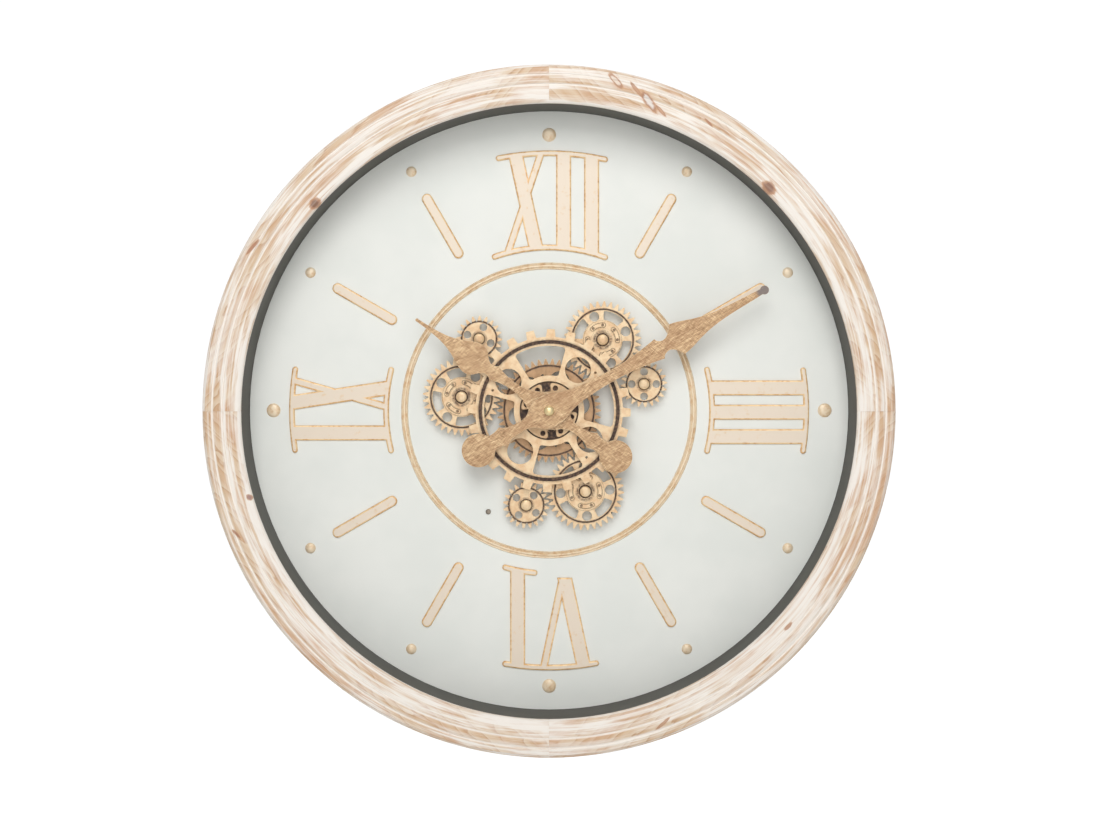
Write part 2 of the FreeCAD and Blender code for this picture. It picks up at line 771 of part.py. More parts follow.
dial_radius = drum_inner - v.dial_fit
dial_shape = Part.makeCylinder(float(dial_radius), float(v.dial_sheet),
                               Vector(0, -float(dial_back), 0), Vector(0, -1, 0))
relief_shapes = []
for hour in range(12):
    degrees = 90.0 - hour * 30.0
    on_quarter = hour % 3 == 0
    dot_size = v.quarter_dot_radius if on_quarter else v.dot_radius
    dome = turned_shape([(ZERO, v.dial_level - v.dial_sheet * 0.5), (dot_size, v.dial_level - v.dial_sheet * 0.5),
                         (dot_size, v.dial_level), (dot_size * 0.86, v.dial_level + v.relief * 0.55),
                         (dot_size * 0.5, v.dial_level + v.relief * 0.92),
                         (ZERO, v.dial_level + v.relief)])
    dome.translate(spot(dot_circle, degrees))
    relief_shapes.append(dome)
    if not on_quarter:
        relief_shapes.append(relief_bar(bar_inner, bar_outer, v.bar_width, degrees))
for numeral, strokes in NUMERAL_STROKE_SHARES.items():
    relief_shapes.extend(stroke_shape(numeral, *stroke) for stroke in strokes)
    relief_shapes.extend(serif_shape(numeral, *serif) for serif in NUMERAL_SERIF_SHARES[numeral])
half_ring = v.ring_half_width
relief_shapes.append(turned_shape([
    (ring_radius - half_ring, v.dial_level - v.dial_sheet * 0.5),
    (ring_radius + half_ring, v.dial_level - v.dial_sheet * 0.5),
    (ring_radius + half_ring, v.dial_level), (ring_radius + half_ring * 0.8, v.dial_level + v.relief * 0.6),
    (ring_radius + half_ring * 0.35, v.dial_level + v.relief),
    (ring_radius - half_ring * 0.35, v.dial_level + v.relief),
    (ring_radius - half_ring * 0.8, v.dial_level + v.relief * 0.6), (ring_radius - half_ring, v.dial_level),
]))

# Where the satellites turn, and the holes through the dial
SATELLITE_ANGLES = (v.first_angle, v.second_angle, v.third_angle)
EYE_TURNS = (v.first_eye_turn, v.second_eye_turn, v.third_eye_turn)
HOLE_TURNS = (v.first_hole_turn, v.second_hole_turn, v.third_hole_turn)


def large_place(index):
    """Where a large satellite turns."""
    turn = math.radians(float(SATELLITE_ANGLES[index]))
    return large_distance * math.cos(turn), large_distance * math.sin(turn)


def small_place(index):
    """Where a small satellite turns, beside its large one."""
    turn = math.radians(float(v.pair_turn) + index * 120.0)
    x, z = large_place(index)
    return x + pair_distance * math.cos(turn), z + pair_distance * math.sin(turn)


POST_PLACES = [large_place(index) for index in range(3)] + [small_place(index) for index in range(3)]
STANDOFF_PLACES = [(-v.standoff_x, -v.standoff_z), (v.standoff_x, -v.standoff_z), (v.standoff_x, v.standoff_z)]
dial = dial_shape.fuse(relief_shapes)
dial_holes = [(v.dial_hole, ZERO, ZERO)]
dial_holes += [(v.post_tail + v.seat_fit, x, z) for x, z in POST_PLACES]
dial_holes += [(v.carrier_screw_shank + v.seat_fit, x, z) for x, z in STANDOFF_PLACES]
dial = dial.cut([
    Part.makeCylinder(float(radius), float(v.dial_level), Vector(float(x), 0, float(z)), Vector(0, -1, 0))
    for radius, x, z in dial_holes])
add_shape("dial_plate", dial)

# Back board with its window, and the hanger let into it
board = new_body("back_board")
board_outline = new_sketch(board)
draw_circle(board_outline, seat_radius - v.board_fit)
cut = v.window_corner
draw_polygon(board_outline, [
    (-v.window_left + cut, -v.window_half_height), (v.window_right - cut, -v.window_half_height),
    (v.window_right, -v.window_half_height + cut), (v.window_right, v.window_half_height - cut),
    (v.window_right - cut, v.window_half_height), (-v.window_left + cut, v.window_half_height),
    (-v.window_left, v.window_half_height - cut), (-v.window_left, -v.window_half_height + cut),
])
for x, z in ring_places(board_screws, board_screw_circle, board_screw_turn):
    draw_circle(board_outline, v.screw_shank + v.seat_fit, x, z)
hanger_half_width = v.hanger_width / 2
hanger_half_height = v.hanger_height / 2
rivet_x = hanger_half_width - v.rivet_inset
rivet_z = hanger_half_height - v.rivet_inset
hanger_middle = hanger_centre + v.keyhole_rise / 2
RIVET_PLACES = [(side * rivet_x, hanger_middle + end * rivet_z) for side in (-1, 1) for end in (-1, 1)]
for x, z in RIVET_PLACES:
    draw_circle(board_outline, v.rivet_radius + v.seat_fit, x, z)
nail_half_width = v.keyhole_radius + v.keyhole_clearance
nail_bottom = hanger_centre - v.keyhole_radius - v.keyhole_clearance
nail_top = hanger_centre + v.keyhole_rise + v.keyhole_radius
draw_polygon(board_outline, [(-nail_half_width, nail_bottom), (nail_half_width, nail_bottom),
                             (nail_half_width, nail_top), (-nail_half_width, nail_top)])
add_pad(board, board_outline, v.board_sheet)


def rectangle(half_width, half_height, x=ZERO, z=ZERO):
    """Four corners about a middle."""
    return [(x - half_width, z - half_height), (x + half_width, z - half_height),
            (x + half_width, z + half_height), (x - half_width, z + half_height)]


hanger_seat = new_sketch(board, v.hanger_sheet)
draw_polygon(hanger_seat, rectangle(hanger_half_width + v.board_fit, hanger_half_height + v.board_fit,
                                    ZERO, hanger_middle))
add_pocket(board, hanger_seat, v.hanger_sheet)
head_seats = new_sketch(board, v.screw_head_depth)
for x, z in ring_places(board_screws, board_screw_circle, board_screw_turn):
    draw_circle(head_seats, v.screw_head + v.seat_fit, x, z)
add_pocket(board, head_seats, v.screw_head_depth)

back_screws = []
for x, z in ring_places(board_screws, board_screw_circle, board_screw_turn):
    back_screws.append(turned_shape([
        (ZERO, v.face_gap), (v.screw_head, v.face_gap), (v.screw_head, v.screw_head_depth),
        (v.screw_shank, v.screw_head_depth), (v.screw_shank, board_screw_tip - v.screw_shank),
        (ZERO, board_screw_tip)], x, z))
add_shape("back_screws", Part.makeCompound(back_screws))

# Keyhole plate
keyhole = new_body("keyhole_plate")
keyhole_outline = new_sketch(keyhole)
draw_polygon(keyhole_outline, rectangle(hanger_half_width, hanger_half_height, ZERO, hanger_middle))
for x, z in RIVET_PLACES:
    draw_circle(keyhole_outline, v.rivet_radius + v.seat_fit, x, z)
slot = float(v.keyhole_slot)
head_z = float(hanger_centre)
slot_foot = head_z + math.sqrt(float(v.keyhole_radius) ** 2 - slot ** 2)
slot_top = head_z + float(v.keyhole_rise)
draw_outline(keyhole_outline, [
    Part.LineSegment(Vector(slot, slot_foot, 0), Vector(slot, slot_top, 0)),
    Part.Arc(Vector(slot, slot_top, 0), Vector(0, slot_top + slot, 0), Vector(-slot, slot_top, 0)),
    Part.LineSegment(Vector(-slot, slot_top, 0), Vector(-slot, slot_foot, 0)),
    Part.Arc(Vector(-slot, slot_foot, 0), Vector(0, head_z - float(v.keyhole_radius), 0),
             Vector(slot, slot_foot, 0)),
])
add_pad(keyhole, keyhole_outline, v.hanger_sheet)
rivet_end = v.board_sheet + v.screw_shank * 0.6
add_shape("keyhole_rivets", Part.makeCompound([
    turned_shape([(ZERO, v.face_gap), (v.rivet_radius, v.face_gap), (v.rivet_radius, v.board_sheet),
                  (v.rivet_radius * 1.8, v.board_sheet), (v.rivet_radius * 1.2, rivet_end), (ZERO, rivet_end)],
                 x, z) for x, z in RIVET_PLACES]))

# Carrier plate behind the dial, its standoffs and their screws
carrier = new_body("carrier_plate")
carrier_outline = new_sketch(carrier, v.carrier_level)
carrier_x = v.standoff_x + v.carrier_margin
carrier_z = v.standoff_z + v.carrier_margin
draw_polygon(carrier_outline, [
    (-carrier_x, -carrier_z), (carrier_x, -carrier_z),
    (carrier_x, -v.carrier_wing_half), (v.carrier_wing, -v.carrier_wing_half),
    (v.carrier_wing, v.carrier_wing_half), (carrier_x, v.carrier_wing_half),
    (carrier_x, carrier_z), (carrier_x - v.carrier_margin * 2, carrier_z),
    (-v.carrier_waist, v.carrier_waist), (-v.carrier_waist, -v.carrier_waist),
    (-carrier_x, -carrier_z + v.carrier_margin * 2),
])
draw_circle(carrier_outline, v.bush_radius + v.seat_fit)
draw_circle(carrier_outline, v.pinion_hole, pinion_distance, ZERO)
for x, z in STANDOFF_PLACES:
    draw_circle(carrier_outline, v.post_tail + v.seat_fit, x, z)
motor_left = v.movement_side / 2 + v.motor_gap
motor_wall = v.movement_wall
bay_left = motor_left + motor_wall + v.motor_room + motor_wall
motor_right = bay_left + v.bay_height + motor_wall
motor_half_height = v.movement_side / 2
EAR_PLACES = [(v.ear_x, side * (motor_half_height + v.ear_length * 0.5)) for side in (-1, 1)]
for x, z in EAR_PLACES:
    draw_circle(carrier_outline, v.motor_screw_radius + v.seat_fit, x, z)
add_pad(carrier, carrier_outline, v.carrier_sheet)

standoff_depth = v.carrier_screw_shank * 4.5
add_shape("carrier_standoffs", Part.makeCompound([
    turned_shape([
        (ZERO, v.carrier_level), (v.post_tail, v.carrier_level), (v.post_tail, carrier_front),
        (v.standoff_radius, carrier_front), (v.standoff_radius, dial_back),
        (v.carrier_screw_shank + v.seat_fit, dial_back),
        (v.carrier_screw_shank + v.seat_fit, dial_back - standoff_depth),
        (ZERO, dial_back - standoff_depth)], x, z) for x, z in STANDOFF_PLACES]))
screw_top = v.dial_level + v.carrier_screw_rise
add_shape("carrier_screws", Part.makeCompound([
    turned_shape([
        (ZERO, dial_back - standoff_depth * 0.85), (v.carrier_screw_shank, dial_back - standoff_depth * 0.85),
        (v.carrier_screw_shank, v.dial_level), (v.carrier_screw_head, v.dial_level),
        (v.carrier_screw_head, screw_top - v.carrier_screw_rise * 0.45),
        (v.carrier_screw_head * 0.7, screw_top - v.carrier_screw_rise * 0.1), (ZERO, screw_top)],
        x, z) for x, z in STANDOFF_PLACES]))

# Quartz movement: front case, lid, battery, contacts
half_side = v.movement_side / 2
inner_side = half_side - v.movement_wall
bay_low = -inner_side
bay_high = bay_low + v.bay_height
room_low = bay_high + v.movement_wall
inner_wall = v.carrier_level - v.movement_wall
case_depth = v.carrier_level - v.movement_back
room_depth = inner_wall - v.movement_back
motion_turn = math.radians(float(v.motion_angle))
motion_x = motion_distance * math.cos(motion_turn)
motion_z = motion_distance * math.sin(motion_turn)
pivot_radius = v.arbor_radius * 0.625
knob_hole = v.knob_radius + v.board_fit


def span(left, right, low, high):
    """Four corners from two ends each way."""
    return [(left, low), (right, low), (right, high), (left, high)]


movement = new_body("movement_case")
movement_outline = new_sketch(movement, v.movement_back)
draw_polygon(movement_outline, rectangle(half_side, half_side))
add_pad(movement, movement_outline, case_depth)
rooms = new_sketch(movement, inner_wall)
draw_polygon(rooms, span(-inner_side, inner_side, bay_low, bay_high))
draw_polygon(rooms, span(-inner_side, inner_side, room_low, inner_side))
add_pocket(movement, rooms, room_depth)
lid_seat = new_sketch(movement, lid_front)
lid_low = bay_high + v.movement_wall * 0.5
draw_polygon(lid_seat, span(-half_side, half_side, lid_low, half_side))
add_pocket(movement, lid_seat, v.lid_sheet)
front_hole = new_sketch(movement, v.carrier_level)
draw_circle(front_hole, v.bush_radius + v.seat_fit)
add_pocket(movement, front_hole, v.movement_wall)
pivot_hole = new_sketch(movement, v.carrier_level - v.movement_wall * 0.2)
draw_circle(pivot_hole, pivot_radius + v.running_fit, motion_x, motion_z)
add_pocket(movement, pivot_hole, v.movement_wall * 0.8)

lid = new_body("movement_lid")
lid_outline = new_sketch(lid, v.movement_back)
draw_polygon(lid_outline, span(-half_side, half_side, lid_low + v.seat_fit, half_side))
draw_circle(lid_outline, knob_hole, motion_x, motion_z)
add_pad(lid, lid_outline, v.lid_sheet)
lid_pivot = new_sketch(lid, lid_front)
draw_circle(lid_pivot, pivot_radius + v.running_fit)
add_pocket(lid, lid_pivot, v.lid_sheet * 0.6)

battery_span = v.battery_length + v.battery_nub
battery_start = inner_side - v.contact_sheet - v.contact_gap - battery_span


def battery_shape(centre_x, centre_z, along):
    """A round cell with its nub, lying along a direction."""
    start = Vector(float(centre_x), -float(battery_axis), float(centre_z)) + along * float(battery_start)
    can = Part.makeCylinder(float(v.battery_radius), float(v.battery_length), start, along)
    nub_start = start + along * float(v.battery_length)
    nub = Part.makeCylinder(float(v.battery_nub_radius), float(v.battery_nub), nub_start, along)
    return can.fuse(nub)


def contact_shapes(centre_x, centre_z, along):
    """The flat contact and the sprung contact at the two ends of a bay."""
    middle = Vector(float(centre_x), -float(battery_axis), float(centre_z))
    end = float(inner_side) - float(v.seat_fit)
    sheet_width = float(v.contact_sheet)
    plate_radius = float(v.battery_radius) * 0.7
    spring_length = float(inner_side + battery_start - v.contact_sheet - v.contact_gap)
    flat = Part.makeCylinder(plate_radius, sheet_width, middle + along * (end - sheet_width), along)
    base = Part.makeCylinder(plate_radius, sheet_width, middle - along * end, along)
    spring = Part.makeCone(plate_radius * 0.8, plate_radius * 0.5, spring_length,
                           middle - along * (end - sheet_width), along)
    return [flat, base.fuse(spring)]


bay_middle = (bay_low + bay_high) / 2
motor_bay_middle = bay_left + v.bay_height / 2
along_x, along_z = Vector(1, 0, 0), Vector(0, 0, 1)
add_shape("movement_battery", battery_shape(ZERO, bay_middle, along_x))
add_shape("gear_battery", battery_shape(motor_bay_middle, ZERO, along_z))
add_shape("battery_contacts", Part.makeCompound(
    contact_shapes(ZERO, bay_middle, along_x) + contact_shapes(motor_bay_middle, ZERO, along_z)))

# Circuit board and coil of the stepping motor
card_level = lid_front + v.contact_gap
card_left = v.knob_radius
card = new_body("circuit_board")
card_outline = new_sketch(card, card_level)
draw_polygon(card_outline, span(card_left, inner_side - v.contact_gap, room_low + v.contact_gap,
                                inner_side - v.contact_gap))
add_pad(card, card_outline, v.board_card_sheet)
coil_level = card_level + v.board_card_sheet + v.coil_flange + v.contact_gap
coil_left = (card_left + inner_side - v.coil_length) / 2
coil_profile = [
    (ZERO, ZERO), (v.coil_flange, ZERO), (v.coil_flange, v.coil_flange_sheet),
    (v.coil_radius, v.coil_flange_sheet), (v.coil_radius, v.coil_length - v.coil_flange_sheet),
    (v.coil_flange, v.coil_length - v.coil_flange_sheet), (v.coil_flange, v.coil_length), (ZERO, v.coil_length)]
coil = turned_shape(coil_profile)
coil.rotate(Vector(0, 0, 0), Vector(0, 0, 1), 90)
coil.translate(Vector(float(coil_left), -float(coil_level), float(inner_side - v.coil_flange - v.contact_gap)))
add_shape("stepper_coil", coil)


# Motion work: minute arbor, minute wheel with its knob, hour wheel with its tube
def add_wheel_pad(body, count, module, rise, fall, tip, root, level, width, phase, holes):
    """A toothed disc with round holes: each hole is radius, x and z."""
    sketch = new_sketch(body, level)
    pitch = module * count / 2
    for radius, x, z in holes:
        draw_circle(sketch, radius, x, z)
    draw_outline(sketch, tooth_curves(count, pitch - fall, pitch + rise, root, tip, phase))
    return add_pad(body, sketch, width)


def fine_wheel_pad(body, count, module, level, width, phase, bore=None):
    """A moulded wheel with ordinary fine teeth."""
    holes = [(bore, ZERO, ZERO)] if bore is not None else []
    return add_wheel_pad(body, count, module, module * 0.8, module * 1.2, module * 0.6, module * 1.9,
                         level, width, phase, holes)


cannon_count, minute_count = whole(v.cannon_teeth), whole(v.minute_teeth)
pinion_count, hour_count = whole(v.hour_pinion_teeth), whole(v.hour_teeth)
arbor_top = hand_tip_level + v.nut_skirt + v.nut_dome * 0.4
arbor = turned_body("minute_arbor", [
    (ZERO, lid_front - v.lid_sheet * 0.5), (pivot_radius, lid_front - v.lid_sheet * 0.5),
    (pivot_radius, lid_front + v.face_gap), (v.arbor_radius, lid_front + v.face_gap),
    (v.arbor_radius, arbor_top), (ZERO, arbor_top)])
fine_wheel_pad(arbor, cannon_count, v.hand_module, v.minute_wheel_level, v.motion_wheel_width, 0.0)

minute_phase = mesh_phase(float(v.motion_angle), 0.0, cannon_count, minute_count)
minute_wheel = new_body("minute_wheel", motion_x, motion_z)
fine_wheel_pad(minute_wheel, minute_count, v.hand_module, v.minute_wheel_level, v.motion_wheel_width,
               minute_phase)
pinion_start = v.minute_wheel_level + v.motion_wheel_width
pinion_span = v.hour_wheel_level + v.motion_wheel_width - pinion_start
fine_wheel_pad(minute_wheel, pinion_count, hour_module, pinion_start, pinion_span, 0.0)
front_pivot = new_sketch(minute_wheel, pinion_start + pinion_span)
draw_circle(front_pivot, pivot_radius)
pivot_end = v.carrier_level - v.movement_wall * 0.4
add_pad(minute_wheel, front_pivot, pivot_end - pinion_start - pinion_span)
knob_front = v.movement_back + v.knob_width
rear_shaft = new_sketch(minute_wheel, knob_front - v.knob_width * 0.5)
draw_circle(rear_shaft, v.arbor_radius)
add_pad(minute_wheel, rear_shaft, v.minute_wheel_level - knob_front + v.knob_width * 0.5)

turned_body("set_knob", [
    (ZERO, v.movement_back), (v.knob_radius, v.movement_back), (v.knob_radius, knob_front),
    (v.arbor_radius + v.seat_fit, knob_front),
    (v.arbor_radius + v.seat_fit, knob_front - v.knob_width * 0.5),
    (ZERO, knob_front - v.knob_width * 0.5)], motion_x, motion_z)

hour_phase = mesh_phase(float(v.motion_angle) + 180.0, 0.0, pinion_count, hour_count)
hour_wheel = new_body("hour_wheel")
fine_wheel_pad(hour_wheel, hour_count, hour_module, v.hour_wheel_level, v.motion_wheel_width, hour_phase,
               v.arbor_radius + v.running_fit)
hour_tube = new_sketch(hour_wheel, v.hour_wheel_level + v.motion_wheel_width)
draw_circle(hour_tube, v.hour_tube_radius)
draw_circle(hour_tube, v.arbor_radius + v.running_fit)
tube_top = v.hour_hand_level + v.hand_sheet + v.face_gap
add_pad(hour_wheel, hour_tube, tube_top - v.hour_wheel_level - v.motion_wheel_width)

# Threaded bush through the carrier, washer and nut
bush_bore = v.hour_tube_radius + v.running_fit
flange_back = inner_wall - v.bush_flange_width
turned_body("threaded_bush", [
    (bush_bore, flange_back), (v.bush_flange, flange_back), (v.bush_flange, inner_wall),
    (v.bush_radius, inner_wall), (v.bush_radius, v.bush_front), (bush_bore, v.bush_front)])
nut_bore = v.bush_radius + v.seat_fit
turned_body("bush_washer", [
    (nut_bore, carrier_front), (v.washer_radius, carrier_front),
    (v.washer_radius, nut_level), (nut_bore, nut_level)])
nut = new_body("bush_nut")
nut_outline = new_sketch(nut, nut_level)
nut_corner = v.nut_flats / math.sqrt(3)
draw_polygon(nut_outline, [(nut_corner * math.cos(math.radians(60.0 * step)),
                            nut_corner * math.sin(math.radians(60.0 * step))) for step in range(6)])
draw_circle(nut_outline, nut_bore)
add_pad(nut, nut_outline, v.nut_width)

# Wheel on the long bush: drive gear, tube, centre gear, spacer, plate, petal disc, collar
tube_bore = v.bush_radius + v.running_fit
tube_seat = v.tube_radius + v.seat_fit
shoulder_back = v.gear_level - v.tube_shoulder_width
tube_front = collar_front + v.face_gap * 2
turned_body("drive_tube", [
    (tube_bore, v.drive_level), (v.tube_radius, v.drive_level), (v.tube_radius, shoulder_back),
    (v.tube_shoulder, shoulder_back), (v.tube_shoulder, v.gear_level), (v.tube_radius, v.gear_level),
    (v.tube_radius, tube_front), (tube_bore, tube_front)])
drive_gear = new_body("drive_gear")
fine_wheel_pad(drive_gear, whole(v.drive_teeth), v.drive_module, v.drive_level, v.drive_width, 0.0, tube_seat)


def satellite_teeth(body, count, phase, holes, windows=()):
    """A blank with the train's teeth, round holes and shaped windows."""
    sketch = new_sketch(body, v.gear_level)
    pitch = v.tooth_module * count / 2
    for radius, x, z in holes:
        draw_circle(sketch, radius, x, z)
    draw_outline(sketch, tooth_curves(count, pitch - v.tooth_fall, pitch + v.tooth_rise,
                                      v.tooth_root, v.tooth_tip, phase))
    for window in windows:
        draw_outline(sketch, window)
    return add_pad(body, sketch, v.gear_width)


def engrave_ring(body, level, inner, outer, depth):
    """A groove between two radii."""
    sketch = new_sketch(body, level)
    draw_circle(sketch, outer)
    draw_circle(sketch, inner)
    return add_pocket(body, sketch, depth)


centre_count = whole(v.centre_teeth)
centre_gear = new_body("centre_gear")
centre_holes = [(tube_seat, ZERO, ZERO)]
centre_holes += [(v.centre_window_radius, x, z)
                 for x, z in ring_places(6, v.centre_window_circle, float(v.centre_window_angle))]
centre_holes += [(v.pin_hole_radius, x, z)
                 for x, z in ring_places(6, v.centre_window_circle * 1.15, float(v.centre_window_angle) + 30.0)]
satellite_teeth(centre_gear, centre_count, 0.0, centre_holes)
engrave_ring(centre_gear, gear_front, v.centre_ring, v.centre_ring + v.engraved_width, v.engraved_depth)
turned_body("wheel_spacer", [
    (tube_seat, gear_front), (v.tube_shoulder, gear_front),
    (v.tube_shoulder, v.plate_level), (tube_seat, v.plate_level)])

plate = new_body("front_plate_gear")
plate_outline = new_sketch(plate, v.plate_level)
draw_circle(plate_outline, tube_seat)
for x, z in ring_places(4, v.eye_circle, float(v.arch_angle) - 44.0):
    draw_circle(plate_outline, v.eye_radius, x, z)
PIN_HOLE_ANGLES = (39.3, 160.2, 308.8)
for degrees in PIN_HOLE_ANGLES:
    turn = math.radians(degrees)
    draw_circle(plate_outline, v.pin_hole_radius, v.pin_hole_circle * math.cos(turn),
                v.pin_hole_circle * math.sin(turn))
draw_outline(plate_outline, tooth_curves(whole(v.plate_teeth), v.plate_root, v.plate_tip,
                                         v.plate_tooth_root, v.plate_tooth_tip, float(v.plate_phase)))
for step in range(4):
    draw_outline(plate_outline, arch_curves(v.arch_inner, v.arch_outer, float(v.arch_half_angle), v.arch_corner,
                                            float(v.arch_angle) + step * 90.0))
add_pad(plate, plate_outline, v.plate_width)
recess = new_sketch(plate, plate_front)
draw_circle(recess, v.hub_recess)
add_pocket(plate, recess, v.plate_width - v.hub_floor)
engrave_ring(plate, plate_front, v.plate_groove, v.plate_band, v.plate_groove_depth)


def petal_curves():
    """The lobed disc: four radial slots with rounded lips."""
    radius, corner = float(v.petal_radius), float(v.petal_corner)
    half, inner = float(v.petal_slot_width) / 2, float(v.petal_slot_inner)
    lip_x = math.sqrt((radius - corner) ** 2 - (half + corner) ** 2)
    lip_turn = math.degrees(math.atan2(half + corner, lip_x))
    curves = []
    for step in range(4):
        axis = float(v.petal_slot_angle) + step * 90.0
        along, across = plane_spot(1.0, axis), plane_spot(1.0, axis + 90.0)
        for side in (-1, 1):
            floor = along * inner + across * (half * side)
            lip_start = along * lip_x + across * (half * side)
            centre = along * lip_x + across * ((half + corner) * side)
            lip_end = plane_spot(radius, axis + lip_turn * side)
            bulge = (lip_start + lip_end) * 0.5 - centre
            bulge.normalize()
            curves.append(Part.LineSegment(floor, lip_start))
            curves.append(Part.Arc(lip_start, centre + bulge * corner, lip_end))
        curves.append(Part.LineSegment(along * inner - across * half, along * inner + across * half))
        curves.append(Part.Arc(plane_spot(radius, axis + lip_turn), plane_spot(radius, axis + 45.0),
                               plane_spot(radius, axis + 90.0 - lip_turn)))
    return curves


petals = new_body("petal_disc")
petal_outline = new_sketch(petals, petal_level)
draw_circle(petal_outline, tube_seat)
for half_turn in (-22.5, 22.5):
    for x, z in ring_places(4, v.petal_hole_circle, float(v.petal_slot_angle) + 45.0 + half_turn):
        draw_circle(petal_outline, v.petal_hole_radius, x, z)
draw_outline(petal_outline, petal_curves())
add_pad(petals, petal_outline, v.petal_width)
turned_body("wheel_collar", [
    (tube_seat, collar_level), (v.collar_radius, collar_level),
    (v.collar_radius, collar_front), (tube_seat, collar_front)])

# Satellite wheels, the large ones with riveted links on their hubs
journal_hole = v.journal_radius + v.running_fit
hub_front = gear_front + v.large_hub_rise
large_count, small_count = whole(v.large_teeth), whole(v.small_teeth)
for index in range(3):
    number = index + 1
    eye_turn = float(EYE_TURNS[index])
    large_x, large_z = large_place(index)
    large_phase = mesh_phase(float(SATELLITE_ANGLES[index]), 0.0, centre_count, large_count)
    large = new_body(f"large_satellite_{number}", large_x, large_z)
    holes = [(journal_hole, ZERO, ZERO)]
    holes += [(v.large_eye_radius, x, z) for x, z in ring_places(4, v.large_eye_circle, eye_turn)]
    windows = [arch_curves(v.large_window_inner, v.large_window_outer, float(v.large_window_half_angle),
                           v.large_window_corner, eye_turn + 45.0 + step * 90.0) for step in range(4)]
    satellite_teeth(large, large_count, large_phase, holes, windows)
    hub = new_sketch(large, gear_front)
    draw_circle(hub, v.large_hub)
    draw_circle(hub, journal_hole)
    add_pad(large, hub, v.large_hub_rise)
    hub_dish = new_sketch(large, hub_front)
    draw_circle(hub_dish, v.large_recess)
    add_pocket(large, hub_dish, v.engraved_depth)
    cap_dish = new_sketch(large, hub_front)
    draw_circle(cap_dish, v.cap_pocket)
    add_pocket(large, cap_dish, v.cap_pocket_depth)
    engrave_ring(large, gear_front, v.large_ring, v.large_ring + v.engraved_width, v.engraved_depth)

    links = new_body(f"hub_links_{number}", large_x, large_z)
    link_outline = new_sketch(links, hub_front)
    link_middle = (v.link_inner + v.link_outer) / 2
    for step in range(4):
        middle = eye_turn + step * 90.0
        for side in (-1, 1):
            turn = math.radians(middle + side * float(v.link_hole_angle))
            draw_circle(link_outline, v.link_hole_radius, link_middle * math.cos(turn),
                        link_middle * math.sin(turn))
    for step in range(4):
        draw_outline(link_outline, arch_curves(v.link_inner, v.link_outer, float(v.link_half_angle),
                                               (v.link_outer - v.link_inner) * 0.4, eye_turn + step * 90.0))
    add_pad(links, link_outline, v.link_sheet)

    small_x, small_z = small_place(index)
    small_turn = float(v.pair_turn) + index * 120.0
    small = new_body(f"small_satellite_{number}", small_x, small_z)
    holes = [(journal_hole, ZERO, ZERO)]
    holes += [(v.small_hole_radius, x, z)
              for x, z in ring_places(4, v.small_hole_circle, float(HOLE_TURNS[index]))]
    satellite_teeth(small, small_count, mesh_phase(small_turn, large_phase, large_count, small_count), holes)
    small_dish = new_sketch(small, gear_front)
    draw_circle(small_dish, v.small_pocket)
    add_pocket(small, small_dish, v.cap_pocket_depth)
    engrave_ring(small, gear_front, v.small_ring, v.small_ring + v.engraved_width * 0.8, v.engraved_depth)

# Fixed posts riveted to the dial, and their domed caps
post_shapes, cap_shapes = [], []
for place, (x, z) in enumerate(POST_PLACES):
    wheel_front = hub_front if place < 3 else gear_front
    cap_back = wheel_front - v.cap_pocket_depth + v.face_gap * 3
    cap_floor = cap_back + v.cap_skirt
    journal_top = cap_floor - v.face_gap
    tail_back = dial_back - v.post_tail_length
    post_seat = v.gear_level - v.face_gap
    base_front = v.dial_level + v.post_base_width
    post_shapes.append(turned_shape([
        (ZERO, tail_back), (v.post_tail * 1.6, tail_back), (v.post_tail * 1.6, dial_back),
        (v.post_tail, dial_back), (v.post_tail, v.dial_level), (v.post_base, v.dial_level),
        (v.post_base, base_front), (v.post_radius, base_front), (v.post_radius, post_seat),
        (v.journal_radius, post_seat), (v.journal_radius, journal_top), (ZERO, journal_top)], x, z))
    cap_bore = v.journal_radius + v.seat_fit
    cap_shapes.append(turned_shape([
        (cap_bore, cap_back), (v.cap_radius, cap_back), (v.cap_radius, cap_floor),
        (v.cap_radius * 0.82, cap_floor + v.cap_rise * 0.6), (v.cap_radius * 0.45, cap_floor + v.cap_rise * 0.93),
        (ZERO, cap_floor + v.cap_rise), (ZERO, cap_floor), (cap_bore, cap_floor)], x, z))
add_shape("satellite_posts", Part.makeCompound(post_shapes))
add_shape("satellite_caps", Part.makeCompound(cap_shapes))


# Hands: one half outline in shares, mirrored, with a round paddle tail
def hand_curves(shares, reach):
    """The outline of a hand along +X, from its shares."""
    reach, blade = float(reach), float(v.blade_half_width)
    runs, run = [], []
    for along, across, sharp in shares:
        run.append(Vector(along * reach, across * blade, 0))
        if sharp:
            runs.append(run)
            run = [run[-1]]
    curves = []
    for side in (1, -1):
        for points in runs:
            stretch = Part.BSplineCurve()
            stretch.interpolate([Vector(point.x, point.y * side, 0) for point in points])
            curves.append(stretch)
    tip = runs[-1][-1]
    nose = Vector(reach, 0, 0)
    curves.append(Part.Arc(tip, nose, Vector(tip.x, -tip.y, 0)))
    neck = runs[0][0]
    paddle_end = Vector(-float(v.paddle_offset) - float(v.paddle_radius), 0, 0)
    curves.append(Part.Arc(neck, paddle_end, Vector(neck.x, -neck.y, 0)))
    return curves


def add_hand(name, shares, reach, level, bore, degrees):
    """A flat stamped hand turned to its place on the dial."""
    hand = new_body(name)
    sketch = new_sketch(hand, level)
    draw_outline(sketch, hand_curves(shares, reach))
    draw_circle(sketch, bore)
    add_pad(hand, sketch, v.hand_sheet)
    hand.Placement = Placement(Vector(0, 0, 0), Rotation(Vector(0, 1, 0), -float(degrees)))
    return hand


